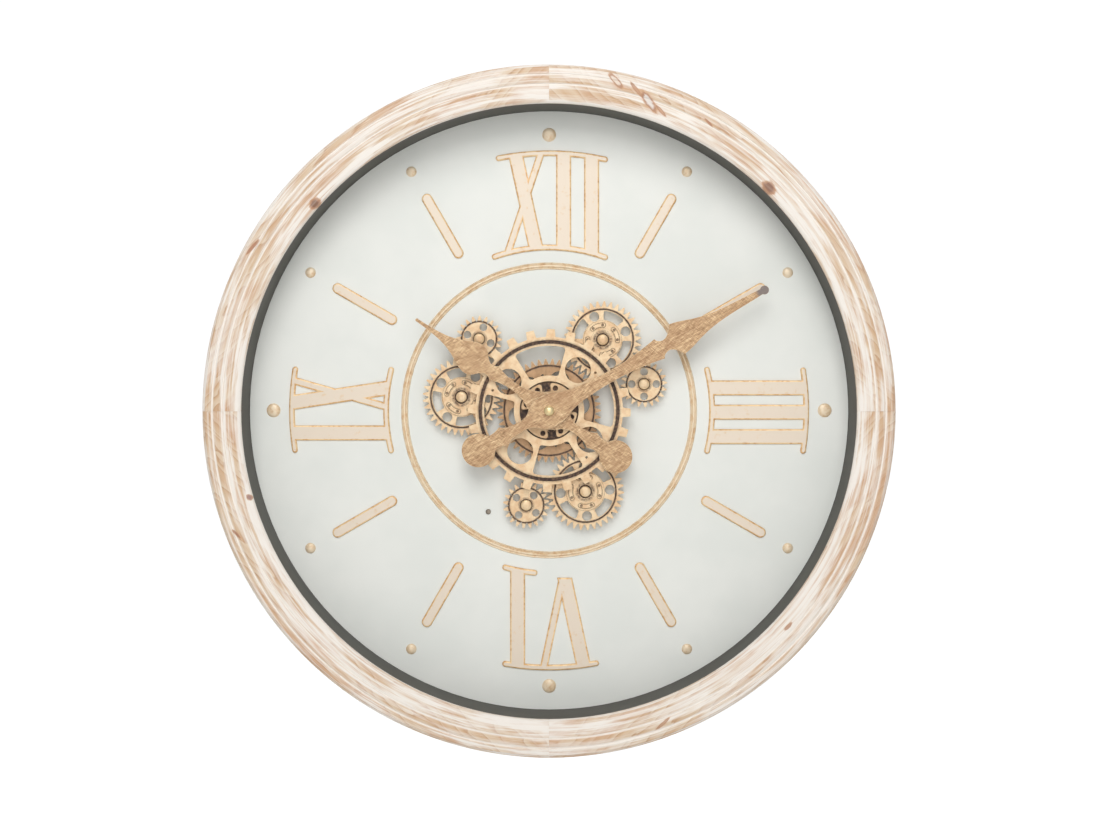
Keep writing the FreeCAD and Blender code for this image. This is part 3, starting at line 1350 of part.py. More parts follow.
add_hand("hour_hand", HOUR_EDGE_SHARES, v.hour_reach, v.hour_hand_level,
         v.hour_tube_radius + v.seat_fit, v.hour_hand_angle)
add_hand("minute_hand", MINUTE_EDGE_SHARES, v.minute_reach, v.minute_hand_level,
         v.arbor_radius + v.seat_fit, v.minute_hand_angle)
nut_seat = v.arbor_radius + v.seat_fit
dome_back = hand_tip_level + v.nut_skirt
turned_body("hand_nut", [
    (nut_seat, hand_tip_level), (v.nut_radius, hand_tip_level), (v.nut_radius, dome_back),
    (v.nut_radius * 0.9, dome_back + v.nut_dome * 0.45), (v.nut_radius * 0.62, dome_back + v.nut_dome * 0.8),
    (v.nut_radius * 0.3, dome_back + v.nut_dome * 0.97), (ZERO, dome_back + v.nut_dome),
    (ZERO, arbor_top + v.face_gap), (nut_seat, arbor_top + v.face_gap)])

# Gear motor box: case with ears, lid with a switch slot, sealed motor, pinion
motor_case = new_body("gear_motor_case")
case_outline = new_sketch(motor_case, v.movement_back)
draw_polygon(case_outline, span(motor_left, motor_right, -motor_half_height, motor_half_height))
add_pad(motor_case, case_outline, case_depth)
ear_level = v.carrier_level - v.ear_sheet
ears = new_sketch(motor_case, ear_level)
ear_half = v.ear_width / 2
ear_tip = motor_half_height + v.ear_length
draw_polygon(ears, span(v.ear_x - ear_half, v.ear_x + ear_half, -ear_tip, ear_tip))
for x, z in EAR_PLACES:
    draw_circle(ears, v.motor_screw_radius + v.seat_fit, x, z)
add_pad(motor_case, ears, v.ear_sheet)
motor_inner = motor_half_height - motor_wall
motor_rooms = new_sketch(motor_case, inner_wall)
room_left = motor_left + motor_wall
room_right = room_left + v.motor_room
draw_polygon(motor_rooms, span(room_left, room_right, -motor_inner, motor_inner))
draw_polygon(motor_rooms, span(bay_left, bay_left + v.bay_height, -motor_inner, motor_inner))
add_pocket(motor_case, motor_rooms, room_depth)
motor_lid_seat = new_sketch(motor_case, lid_front)
lid_right = room_right + motor_wall * 0.5
draw_polygon(motor_lid_seat, span(motor_left, lid_right, -motor_half_height, motor_half_height))
add_pocket(motor_case, motor_lid_seat, v.lid_sheet)
shaft_hole = new_sketch(motor_case, v.carrier_level)
draw_circle(shaft_hole, v.pinion_shaft + v.running_fit, pinion_distance, ZERO)
add_pocket(motor_case, shaft_hole, v.movement_wall)

motor_lid = new_body("gear_motor_lid")
motor_lid_outline = new_sketch(motor_lid, v.movement_back)
draw_polygon(motor_lid_outline, span(motor_left, lid_right - v.seat_fit, -motor_half_height, motor_half_height))
slot_half = (v.switch_length + v.switch_travel) / 2 + v.switch_play
draw_polygon(motor_lid_outline, rectangle(slot_half, v.switch_width / 2 + v.switch_play, v.switch_x, v.switch_z))
add_pad(motor_lid, motor_lid_outline, v.lid_sheet)

can_front = inner_wall - v.face_gap
can_back = can_front - v.motor_can_length
shaft_floor = can_front - v.motor_shaft_depth
shaft_bore = v.pinion_shaft + v.running_fit
turned_body("drive_motor", [
    (ZERO, can_back), (v.motor_can_radius, can_back), (v.motor_can_radius, can_front),
    (shaft_bore, can_front), (shaft_bore, shaft_floor), (ZERO, shaft_floor)], pinion_distance, ZERO)
motor_pinion_count = whole(v.pinion_teeth)
drive_pinion = turned_body("drive_pinion", [
    (ZERO, shaft_floor + v.face_gap), (v.pinion_shaft, shaft_floor + v.face_gap),
    (v.pinion_shaft, v.drive_level), (ZERO, v.drive_level)], pinion_distance, ZERO)
fine_wheel_pad(drive_pinion, motor_pinion_count, v.drive_module, v.drive_level - v.face_gap * 2, v.pinion_width,
               mesh_phase(0.0, 0.0, whole(v.drive_teeth), motor_pinion_count))

# Slide switch, at rest in its off place
guide_level = lid_front + v.switch_play
switch_rest = v.switch_x - v.switch_travel / 2
slide = new_body("switch_slide")
slide_tab = new_sketch(slide, v.movement_back - v.switch_tab)
draw_polygon(slide_tab, rectangle(v.switch_length / 2, v.switch_width / 2, switch_rest, v.switch_z))
add_pad(slide, slide_tab, guide_level - v.movement_back + v.switch_tab + v.switch_guide_sheet)
slide_guide = new_sketch(slide, guide_level)
draw_polygon(slide_guide, rectangle(v.switch_length / 2 + v.switch_guide, v.switch_width / 2 + v.switch_guide,
                                    switch_rest, v.switch_z))
add_pad(slide, slide_guide, v.switch_guide_sheet)
box_room_x = slot_half + v.switch_guide
box_room_z = v.switch_width / 2 + v.switch_guide + v.switch_play
box_outer_x = box_room_x + v.switch_box_wall
box_outer_z = box_room_z + v.switch_box_wall
switch_box = new_body("switch_box")
box_outline = new_sketch(switch_box, lid_front)
draw_polygon(box_outline, rectangle(box_outer_x, box_outer_z, v.switch_x, v.switch_z))
add_pad(switch_box, box_outline, v.switch_box_depth)
box_room = new_sketch(switch_box, guide_level + v.switch_guide_sheet + v.switch_play)
draw_polygon(box_room, rectangle(box_room_x, box_room_z, v.switch_x, v.switch_z))
add_pocket(switch_box, box_room, v.switch_guide_sheet + v.switch_play * 2)

motor_screw_back = ear_level - v.motor_screw_rise
add_shape("gear_motor_screws", Part.makeCompound([
    turned_shape([
        (ZERO, motor_screw_back), (v.motor_screw_head, motor_screw_back), (v.motor_screw_head, ear_level),
        (v.motor_screw_radius, ear_level), (v.motor_screw_radius, carrier_front), (ZERO, carrier_front)],
        x, z) for x, z in EAR_PLACES]))

# Every object is tested before a file is written
doc.recompute()
for item in doc.Objects:
    if "Invalid" in item.State or "Error" in item.State:
        raise RuntimeError(f"{item.Name} failed: {item.getStatusString()}")
os.makedirs("parts", exist_ok=True)
for node in nodes:
    shape = node.Shape
    if shape.isNull() or not shape.isValid() or not shape.Solids:
        raise RuntimeError(f"{node.Label} has no valid solid")
    shape.exportStep(os.path.join("parts", node.Label + ".step"))
    print(node.Label, len(shape.Solids), "solids,", round(shape.Volume / 1000.0, 2), "cm3")
print(len(nodes), "nodes")
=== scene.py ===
# %% [markdown]
# # A wooden wall clock with gears in front of its dial
#
# The clock is a ring of whitewashed pine on a dark metal drum. Inside it lie an embossed
# enamelled dial, a cluster of cast gears in antique gold, and two brushed hands.
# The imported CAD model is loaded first, as a fixed frame. Every visible solid then gets the
# surface of the real thing: its soft edges as geometry, and its finish as shader nodes.

# %% Load the frame
import json
import math
import bmesh
import bpy
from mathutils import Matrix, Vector


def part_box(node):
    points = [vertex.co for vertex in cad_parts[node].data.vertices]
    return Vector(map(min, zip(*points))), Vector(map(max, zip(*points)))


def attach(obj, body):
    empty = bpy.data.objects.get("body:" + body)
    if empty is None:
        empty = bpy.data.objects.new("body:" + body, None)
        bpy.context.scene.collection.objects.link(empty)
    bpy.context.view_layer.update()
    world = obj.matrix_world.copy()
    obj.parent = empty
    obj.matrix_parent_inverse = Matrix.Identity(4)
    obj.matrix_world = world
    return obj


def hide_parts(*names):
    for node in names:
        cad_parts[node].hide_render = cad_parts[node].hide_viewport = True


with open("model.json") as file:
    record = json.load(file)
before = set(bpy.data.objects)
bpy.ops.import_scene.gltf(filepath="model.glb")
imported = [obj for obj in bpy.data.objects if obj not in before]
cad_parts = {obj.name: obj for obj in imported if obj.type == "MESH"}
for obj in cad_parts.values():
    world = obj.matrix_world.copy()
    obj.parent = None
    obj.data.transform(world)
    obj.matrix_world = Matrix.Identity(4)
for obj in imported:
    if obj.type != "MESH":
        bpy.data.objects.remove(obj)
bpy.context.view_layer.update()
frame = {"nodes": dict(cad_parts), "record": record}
MM = 0.001

# %% [markdown]
# ## Helpers for materials
#
# Colours are written as the hex values that an eye-dropper gives, and the renderer wants
# linear light, so one function turns one into the other. A second adds one node with its
# settings and links, which keeps every material a short list of steps. A third starts a
# material and hands back its parts with the object's own coordinates, and a fourth gives
# the shader its colour and its fine relief.

# %% Colours and nodes
# Kinds of node that are used often, and the setting that lets a Map Range step smoothly
MATH, VECTOR_MATH = "ShaderNodeMath", "ShaderNodeVectorMath"
RANGE, MIX = "ShaderNodeMapRange", "ShaderNodeMixRGB"
SMOOTH = {"interpolation_type": "SMOOTHSTEP"}


def linear(hex_colour):
    """An sRGB hex colour as linear light with alpha."""
    channels = [int(hex_colour[start:start + 2], 16) / 255 for start in (1, 3, 5)]
    return [c / 12.92 if c <= 0.04045 else ((c + 0.055) / 1.055) ** 2.4 for c in channels] + [1.0]


def add_node(tree, kind, inputs=(), stops=(), **settings):
    """One shader node with its settings, its ramp's stops and its inputs.

    Inputs are given by name, or as a list in the node's own order. Each is a value, a hex
    colour, a socket, or another node, whose first output is then linked.
    """
    node = tree.nodes.new(kind)
    for name, value in settings.items():
        setattr(node, name, value)
    while stops and len(node.color_ramp.elements) < len(stops):
        node.color_ramp.elements.new(1.0)
    for number, (position, colour) in enumerate(stops):
        node.color_ramp.elements[number].position = position
        node.color_ramp.elements[number].color = linear(colour)
    for name, value in inputs.items() if isinstance(inputs, dict) else enumerate(inputs):
        if isinstance(value, bpy.types.Node):
            value = value.outputs[0]
        if isinstance(value, bpy.types.NodeSocket):
            tree.links.new(value, node.inputs[name])
        else:
            node.inputs[name].default_value = linear(value) if isinstance(value, str) else value
    return node


print("linear mid grey:", round(linear("#808080")[0], 4))

# %% Materials
def new_material(name, roughness, metallic=0.0):
    """A material, its node tree, its shader and the object's own coordinates."""
    material = bpy.data.materials.new(name)
    material.use_nodes = True
    tree = material.node_tree
    shader = tree.nodes["Principled BSDF"]
    shader.inputs["Roughness"].default_value = roughness
    shader.inputs["Metallic"].default_value = metallic
    return material, tree, shader, add_node(tree, "ShaderNodeTexCoord").outputs["Object"]


def coat(tree, shader, colour, height, strength, depth):
    """Gives a shader its colour, and a relief whose heights of 0 to 1 stand for a real depth."""
    bump = add_node(tree, "ShaderNodeBump", {
        "Height": height, "Strength": strength, "Distance": depth})
    tree.links.new(colour.outputs["Color"], shader.inputs["Base Color"])
    tree.links.new(bump.outputs["Normal"], shader.inputs["Normal"])


print("helpers ready")

# %% [markdown]
# ## Patterns of a real size
#
# Wood, brushed paint and scratched metal are all grains: marks with a length, a width and
# a direction. A Mapping node of the kind TEXTURE turns first and divides by its scale after
# that, so its scale is the real length, width and depth of one grain, in metres, and plain
# noise behind it does the rest. Every finish is then built like real paint, as colours laid
# over each other where such a pattern, or a distance, passes a value.

# %% Grains, layers and distances
def grain(tree, place, length, width, turn=0.0, shift=0.0, detail=4.0, roughness=0.6):
    """Noise whose grains have a real length and width, with the grain turned about Y."""
    lane = add_node(tree, "ShaderNodeMapping", {
        "Vector": place, "Location": (shift, shift, shift),
        "Rotation": (0.0, math.radians(turn), 0.0),
        "Scale": (length, width, width)}, vector_type="TEXTURE")
    noise = add_node(tree, "ShaderNodeTexNoise", {
        "Vector": lane, "Scale": 1.0, "Detail": detail, "Roughness": roughness})
    return noise.outputs["Fac"]


def layer(tree, below, above, value, low, high, share=1.0):
    """Lays a colour over another where a value goes from low to high, up to a share."""
    factor = add_node(tree, RANGE, [value, low, high, 0.0, share], **SMOOTH)
    return add_node(tree, MIX, [factor, below, above])


def from_axis(tree, place):
    """How far a place is from the Y axis, which points out of the wall."""
    flat = add_node(tree, VECTOR_MATH, [place, (1.0, 0.0, 1.0)], operation="MULTIPLY")
    return add_node(tree, VECTOR_MATH, [flat], operation="LENGTH").outputs["Value"]


def from_ring(tree, radius, middle):
    """How far a radius is from the radius of a ring, inwards or outwards."""
    gap = add_node(tree, MATH, [radius, middle], operation="SUBTRACT")
    return add_node(tree, MATH, [gap], operation="ABSOLUTE")


print("patterns ready")

# %% [markdown]
# ## Whitewashed pine
#
# Each quarter of the ring is sawn from straight boards, so its grain runs along the
# quarter's chord and meets the next quarter's grain at an angle. The pine was turned,
# washed with thin white paint by a brush drawn round the moulding, and rubbed back. So two
# directions meet in one material: growth rings and fibres lie along the board, and paint
# lies round the ring. The first needs a turned Mapping, the second needs polar coordinates,
# which a few Math nodes work out from the object's own.
#
# Early wood is pale and late wood is a thin warm line, so the growth rings are a saw-shaped
# wave across the board through a ramp that is pale for most of its length. Torn fibres are
# fine brown streaks.

# %% Bare pine
RING_SPACING = 8.0 * MM      # between growth rings of fast-grown pine
RING_BEND = 55 * MM          # how far the slow wave bends the rings
# Length and width of the marks
SLOW_WAVE = (150 * MM, 26 * MM)
WARM_PATCH = (80 * MM, 16 * MM)
FIBRE = (26 * MM, 0.7 * MM)  # drawn wider than real fibres, so that it shows


def bare_pine(tree, place, turn, shift):
    """The colour of a board, the phase of its growth rings, and its fibres."""
    slow = grain(tree, place, *SLOW_WAVE, turn, shift, detail=3.0)
    board = add_node(tree, "ShaderNodeMapping", {
        "Vector": place, "Location": (shift, shift, shift),
        "Rotation": (0.0, math.radians(turn), 0.0)}, vector_type="TEXTURE")
    across = add_node(tree, "ShaderNodeSeparateXYZ", [board]).outputs["Z"]
    bent = add_node(tree, MATH, [slow, RING_BEND, across], operation="MULTIPLY_ADD")
    rings = add_node(tree, MATH, [bent, RING_SPACING], operation="DIVIDE")
    phase = add_node(tree, MATH, [rings], operation="FRACT")
    wood = add_node(tree, "ShaderNodeValToRGB", [phase], stops=[
        (0.0, "#e0c9ae"), (0.50, "#d9bb99"), (0.80, "#d2ae89"), (0.94, "#c39a76"),
        (1.0, "#dbc1a3")])
    flush = grain(tree, place, *WARM_PATCH, turn, shift + 0.3, detail=3.0)
    wood = layer(tree, wood, "#cd9f7a", flush, 0.44, 0.66, 0.75)
    fibre = grain(tree, place, *FIBRE, turn, shift)
    return layer(tree, wood, "#a58064", fibre, 0.56, 0.74, 0.30), phase, fibre


print("growth rings every", RING_SPACING / MM, "mm")

# %% [markdown]
# ## Knots and resin pockets
#
# Pine has flaws at places of their own, so they are placed, not left to noise: round knots
# by the inner edge, and thin resin pockets right of twelve o'clock. Each is an ellipse: a
# Mapping brings it to a unit circle, a noise bends its edge, and the distance from its
# middle gives the dark outline and the pale or brown inside.

# %% Flaws in the boards
# Angle and radius of the middle, length and width, turn of the long side, core colour
FLAWS = {
    "frame_upper_right": [
        (45.5, 270.5, 5.5, 4.0, 45.0, "#855840"), (78.6, 290.5, 7.5, 2.2, 50.0, "#efe0d0"),
        (74.8, 287.0, 6.5, 1.2, 52.0, "#c79a7c"), (72.2, 280.5, 9.5, 2.9, 56.0, "#ebe4dd"),
        (69.5, 276.0, 5.0, 1.2, 50.0, "#cfa384"), (61.0, 284.0, 4.0, 0.9, 45.0, "#b98263")],
    "frame_upper_left": [
        (138.4, 270.0, 4.5, 3.4, -45.0, "#7d543d"), (151.0, 292.0, 7.0, 1.2, -50.0, "#b98263")],
    "frame_lower_left": [
        (196.0, 268.8, 2.4, 2.0, 40.0, "#8c4f46"), (201.5, 289.0, 4.0, 1.0, 45.0, "#b07a5e")],
    "frame_lower_right": [
        (318.0, 277.0, 4.0, 1.4, -45.0, "#b98a6c"), (290.0, 286.0, 6.0, 1.0, -42.0, "#c39a7c")]}
RAGGED_EDGE = (9 * MM, 2.5 * MM)   # length and width of the noise that bends an outline
RAGGED_BY = 1.1                    # how far it bends it, as a share of the flaw's size


def flaw(tree, place, ragged, colour, turn, radius, length, width, tilt, core):
    """Draws one knot or pocket over a colour. Returns the colour and where the flaw is."""
    middle = Vector((math.cos(math.radians(turn)), 0.0, math.sin(math.radians(turn))))
    lane = add_node(tree, "ShaderNodeMapping", {
        "Vector": place, "Location": middle * radius * MM,
        "Rotation": (0.0, math.radians(tilt), 0.0),
        "Scale": (length * MM, 1.0, width * MM)}, vector_type="TEXTURE")
    bend = add_node(tree, MATH, [ragged, 0.5], operation="SUBTRACT")
    reach = add_node(tree, MATH, [bend, RAGGED_BY, from_axis(tree, lane)],
                     operation="MULTIPLY_ADD")
    colour = layer(tree, colour, "#cf9f78", reach, 2.4, 1.0, 0.55)
    colour = layer(tree, colour, "#a2694d", reach, 1.30, 0.95, 0.6)
    colour = layer(tree, colour, core, reach, 0.95, 0.55, 0.9)
    return colour, add_node(tree, RANGE, [reach, 1.5, 1.1, 0.0, 0.85], **SMOOTH)


print("flaws:", sum(len(places) for places in FLAWS.values()))

# %% [markdown]
# ## Rubbed paint
#
# The paint lies in streaks round the ring. It is thinner on the raised bead, which is
# rubbed most, a little thicker on the inner band, and thick in the two grooves. So its
# cover is a sum of masks, and the colour underneath shows where the sum is low.

# %% How much paint is left
RIM_MIDDLE = 0.283           # radius at which the brush's strokes have their true length
GROOVE_RADII = (0.2820, 0.2904)
GROOVE_REACH = 1.7 * MM      # paint beside a groove fades out over this width
GROOVE_FULL = 0.2 * MM
BEAD_EDGES = ((0.2822, 0.2842), (0.2893, 0.2873))
BEAD_RUB = 0.22
INNER_BAND = (0.2735, 0.2700)
# Length and width of the brush marks
STREAK, PATCH = (90 * MM, 2.8 * MM), (70 * MM, 9 * MM)
HAIR, BREAK = (60 * MM, 0.9 * MM), (22 * MM, 2.0 * MM)


def around_the_ring(tree, place, radius):
    """A place as length round the ring, radius and depth, all in metres."""
    parts = add_node(tree, "ShaderNodeSeparateXYZ", [place]).outputs
    turn = add_node(tree, MATH, [parts["Z"], parts["X"]], operation="ARCTAN2")
    along = add_node(tree, MATH, [turn, RIM_MIDDLE], operation="MULTIPLY")
    return add_node(tree, "ShaderNodeCombineXYZ", [along, radius, parts["Y"]])


def paint_cover(tree, ring, radius, streak, shift):
    """How much of the wood the paint covers, before the flaws."""
    patch = grain(tree, ring, *PATCH, shift=shift + 0.7, detail=3.0)
    hair = grain(tree, ring, *HAIR, shift=shift + 0.4, detail=3.0)
    cover = 0.0
    for value, *steps in ((streak, 0.42, 0.62, 0.0, 0.55), (patch, 0.42, 0.60, 0.0, 0.62),
                          (hair, 0.44, 0.64, -0.10, 0.20), (radius, *INNER_BAND, 0.0, 0.30)):
        marks = add_node(tree, RANGE, [value, *steps], **SMOOTH)
        cover = add_node(tree, MATH, [cover, marks], operation="ADD")
    sides = [add_node(tree, RANGE, [radius, *edge], **SMOOTH) for edge in BEAD_EDGES]
    on_bead = add_node(tree, MATH, sides, operation="MINIMUM")
    cover = add_node(tree, MATH, [on_bead, -BEAD_RUB, cover], operation="MULTIPLY_ADD")
    gaps = grain(tree, ring, *BREAK, shift=shift + 1.9)
    unbroken = add_node(tree, RANGE, [gaps, 0.30, 0.46, 0.45, 1.0], **SMOOTH)
    for groove in GROOVE_RADII:
        gap = from_ring(tree, radius, groove)
        near = add_node(tree, RANGE, [gap, GROOVE_REACH, GROOVE_FULL], **SMOOTH)
        line = add_node(tree, MATH, [near, unbroken], operation="MULTIPLY")
        cover = add_node(tree, MATH, [cover, line], operation="MAXIMUM")
    return cover


print("paint strokes are", STREAK[1] / MM, "mm wide")

# %% Whitewashed pine
GRAIN_TURNS = {"frame_upper_right": 45.0, "frame_upper_left": -45.0,
               "frame_lower_left": 45.0, "frame_lower_right": -45.0}
BOARD_SHIFT = 0.37           # metres between the patterns of two boards
LEAST_PAINT, MOST_PAINT = 0.05, 0.94


def whitewashed_pine(name, turn, shift, flaws):
    """Brushed pine under rubbed white paint, with its grain along a chord."""
    material, tree, shader, place = new_material(name, 0.58)
    shader.inputs["Specular IOR Level"].default_value = 0.3
    radius = from_axis(tree, place)
    ring = around_the_ring(tree, place, radius)
    wood, phase, fibre = bare_pine(tree, place, turn, shift)
    streak = grain(tree, ring, *STREAK, shift=shift, detail=5.0, roughness=0.55)
    cover = paint_cover(tree, ring, radius, streak, shift)
    ragged = grain(tree, place, *RAGGED_EDGE, turn, shift, detail=3.0)
    for row in flaws:
        wood, bare = flaw(tree, place, ragged, wood, *row)
        rest = add_node(tree, MATH, [1.0, bare], operation="SUBTRACT")
        cover = add_node(tree, MATH, [cover, rest], operation="MULTIPLY")
    thin = add_node(tree, "ShaderNodeClamp", [cover, LEAST_PAINT, MOST_PAINT])
    washed = add_node(tree, MIX, [thin, wood, "#f8f2ea"])
    relief = add_node(tree, MATH, [phase, 0.35, fibre], operation="MULTIPLY_ADD")
    relief = add_node(tree, MATH, [streak, 0.6, relief], operation="MULTIPLY_ADD")
    coat(tree, shader, washed, relief, 0.45, 0.5 * MM)
    return material


pine = {node: whitewashed_pine(node.replace("frame", "whitewashed_pine"), turn,
                               BOARD_SHIFT * step, FLAWS[node])
        for step, (node, turn) in enumerate(GRAIN_TURNS.items(), start=1)}
print("pine for", len(pine), "quarters")

# %% [markdown]
# ## Matt enamel and rubbed gold
#
# The dial is pressed steel with a stove enamel between cream and pale mint. After firing, a
# sponge with gold lacquer was drawn over the relief: it caught the round edges, and left the
# flat tops of the numerals cream. The rims of the relief are rounded as geometry further
# down, so the gold needs no trick here: each kind of face gets its own material, and noise
# breaks them up.

# %% Enamel and rubbed gold
enamel, tree, shader, place = new_material("cream_enamel_on_steel", 0.40)
cloud = grain(tree, place, 90 * MM, 90 * MM, detail=3.0)
peel = grain(tree, place, 1.5 * MM, 1.5 * MM, detail=2.0)
coat(tree, shader, layer(tree, "#e5e7e1", "#ebece6", cloud, 0.35, 0.65), peel, 0.05, 0.1 * MM)

SPONGE, FINE_SPONGE = 6 * MM, 2.4 * MM   # the pores of the sponge


def sponged_gold(name, thin, thick, shade, cover):
    """Gold lacquer sponged over enamel: a thin veil, and full gold on a share of it."""
    material, tree, shader, place = new_material(name, 0.38, 0.12)
    sponge = grain(tree, place, SPONGE, SPONGE, detail=5.0, roughness=0.65)
    fine = grain(tree, place, FINE_SPONGE, FINE_SPONGE, detail=3.0)
    fresh = layer(tree, thick, shade, fine, 0.38, 0.64)
    colour = layer(tree, thin, fresh, sponge, 0.70 - cover * 0.4, 0.90 - cover * 0.4)
    coat(tree, shader, colour, fine, 0.12, 0.15 * MM)
    return material


numeral_top = sponged_gold("thinly_gilded_enamel", "#e5d6c3", "#e5c8a0", "#dcc19e", 0.34)
gold_edge = sponged_gold("gold_lacquer_on_round_edges", "#efcf9f", "#e9bd85", "#cf9f6c", 0.70)
gold_lacquer = sponged_gold("sponged_gold_lacquer", "#eddabd", "#e8cfab", "#dcbb93", 0.70)
# Gold lacquer for the relief's steep sides, painted browner as shade on them.
wall_lacquer_with_shade = sponged_gold("gold_lacquer_with_painted_shade_on_steep_sides", "#c69d74", "#c99b6e", "#a97c5a", 0.5)
print("enamel, gilded numerals, gold lacquer")

# %% [markdown]
# ## Antique gold castings
#
# The gears are cast and lacquered in a pale antique gold. A brown patina was wiped on and
# off again: it stays in grooves, round the hubs and in corners. The bevelled edges are
# lighter, partly rubbed bright and partly a painted highlight. Ambient occlusion darkens
# the colour near every close face: partly the patina in the hollows, and partly painted
# shade, also where a wheel lies under another part. A noise breaks the wiped edge. A
# ring mask leaves a fuzzy smear on both sides of each engraved groove and round each hub,
# because a rag never wipes as far as a corner, and a narrower one fills the groove. A
# painted map could do all this for one casting, but the masks fit every wheel by
# themselves, whatever its size.

# %% Antique gold
MOTTLE, RAG, SPECK = 7 * MM, 2.2 * MM, 0.9 * MM   # cloudy lacquer, wiping marks, casting grain


def antique_gold(name, light, middle, patina_and_shade, centre=(0.0, 0.0), smears=(), lines=(),
                 dirt_and_shade_reach=2.2 * MM):
    """Lacquered casting. Smears and lines are rings: middle radius, half width, strength."""
    material, tree, shader, place = new_material(name, 0.43, 0.30)
    mottle = grain(tree, place, MOTTLE, MOTTLE, detail=5.0)
    speck = grain(tree, place, SPECK, SPECK, detail=3.0, roughness=0.7)
    ragged = grain(tree, place, RAG, RAG, roughness=0.7)
    colour = layer(tree, middle, light, mottle, 0.32, 0.66)
    specks = add_node(tree, RANGE, [speck, 0.56, 0.70], **SMOOTH)
    dull = add_node(tree, RANGE, [mottle, 0.58, 0.42, 0.0, 0.30], **SMOOTH)
    stipple = add_node(tree, MATH, [specks, dull], operation="MULTIPLY")
    colour = add_node(tree, MIX, [stipple, colour, patina_and_shade])
    centred = add_node(tree, VECTOR_MATH, [place, (centre[0], 0.0, centre[1])],
                       operation="SUBTRACT")
    radius = from_axis(tree, centred)
    for ring, half_width, strength in smears:
        near = add_node(tree, RANGE, [
            from_ring(tree, radius, ring), half_width, 0.25 * half_width], **SMOOTH)
        patchy = add_node(tree, RANGE, [ragged, 0.30, 0.62, 0.10, strength], **SMOOTH)
        uneven = add_node(tree, MATH, [near, patchy], operation="MULTIPLY")
        colour = add_node(tree, MIX, [uneven, colour, patina_and_shade])
    for ring, half_width, strength in lines:
        gap = from_ring(tree, radius, ring)
        colour = layer(tree, colour, patina_and_shade, gap, half_width, 0.6 * half_width, strength)
    # Ambient occlusion darkens the colour near close faces: partly patina in the hollows, partly
    # painted shade near and under other parts.
    open_sky = add_node(tree, "ShaderNodeAmbientOcclusion", {"Distance": dirt_and_shade_reach}, samples=6)
    corner_shade = add_node(tree, MATH, [1.0, open_sky.outputs["AO"]], operation="SUBTRACT")
    bend = add_node(tree, MATH, [ragged, 0.5], operation="SUBTRACT")
    dirt_and_shade = add_node(tree, MATH, [bend, 0.4, corner_shade], operation="MULTIPLY_ADD")
    coat(tree, shader, layer(tree, colour, patina_and_shade, dirt_and_shade, 0.18, 0.48, 0.88), speck, 0.2, 0.12 * MM)
    return material


print("gear finish ready")

# %% Patina with painted shade, and edges with wear and a painted highlight
# Dark brown: patina in the grooves, and painted shade on the rims of thin plates and wherever
# ambient occlusion darkens a casting.
patina_and_shade, tree, shader, place = new_material("dark_brown_patina_and_painted_shade", 0.6, 0.1)
wipe = grain(tree, place, 2.5 * MM, 2.5 * MM)
brown = layer(tree, "#3d2c24", "#7d5f47", wipe, 0.40, 0.72)
tree.links.new(brown.outputs["Color"], shader.inputs["Base Color"])
# Lighter gold for the bevelled edges: partly rubbed wear, partly a painted highlight.
worn_and_highlit_edge = antique_gold("antique_gold_worn_and_highlit_edge", "#f6dfb6", "#ebcd9e", "#8a6a4c",
                           dirt_and_shade_reach=1.2 * MM)
print("patina and edge ready")

# %% [markdown]
# ## Brushed hands
#
# The hands are thin brass sheet, scratch-brushed in several directions under a bronze gold
# lacquer. Short thin noise in crossing directions gives the strokes, and a slow noise shifts
# the lacquer from gold to reddish brown. The tip of the minute hand is worn to grey metal.
# An anisotropic shader would only stretch the highlight. Seen from the front under soft
# light, the strokes show by their colour, so they are in the colour and in the bump.

# %% Brushed bronze gold
STROKE_WIDTH = 0.40 * MM     # wider than real scratches, which are a tenth of this
STROKES = ((-48.0, 6.0), (-24.0, 8.0), (36.0, 5.0))   # direction, length in mm
WARM_LACQUER = 20 * MM
WORN_TIP = (215 * MM, 219 * MM)   # the wear begins and is full at these distances

hand_gold, tree, shader, place = new_material("scratch_brushed_bronze_gold", 0.38, 0.35)
crossed = 0.0
for turn, length in STROKES:
    strokes = grain(tree, place, length * MM, STROKE_WIDTH, turn, shift=0.1 * turn, detail=3.0)
    crossed = add_node(tree, MATH, [crossed, strokes], operation="ADD")
brushed = add_node(tree, RANGE, [crossed, 1.08, 1.92], **SMOOTH)
colour = add_node(tree, "ShaderNodeValToRGB", [brushed], stops=[
    (0.0, "#765638"), (0.30, "#a5825e"), (0.62, "#c09c74"), (1.0, "#e8cfa6")])
warm = grain(tree, place, WARM_LACQUER, WARM_LACQUER, detail=3.0)
colour = layer(tree, colour, "#a27b57", warm, 0.42, 0.68, 0.45)
reach = add_node(tree, VECTOR_MATH, [place], operation="LENGTH").outputs["Value"]
colour = layer(tree, colour, "#6c6768", reach, *WORN_TIP, 0.85)
coat(tree, shader, colour, brushed, 0.25, 0.1 * MM)
# A lighter gold on the bevelled edges of the hands: a painted highlight.
hand_edge_highlight = sponged_gold("painted_highlight_on_bronze_gold_edge", "#f6e2bd", "#ecd0a0", "#dcb685", 0.5)
print("hand finish ready")

# %% [markdown]
# ## Plain metals, plastics and board
#
# The rest is hardware: dark lacquer on the rolled drum, turned brass, zinc-plated steel,
# moulded black ABS, white acetal wheels and brown hardboard. They share one recipe, a
# colour that drifts between two values over a given distance, and a fine bump with the
# grain of the process. So they are rows of a table, and one function reads them.

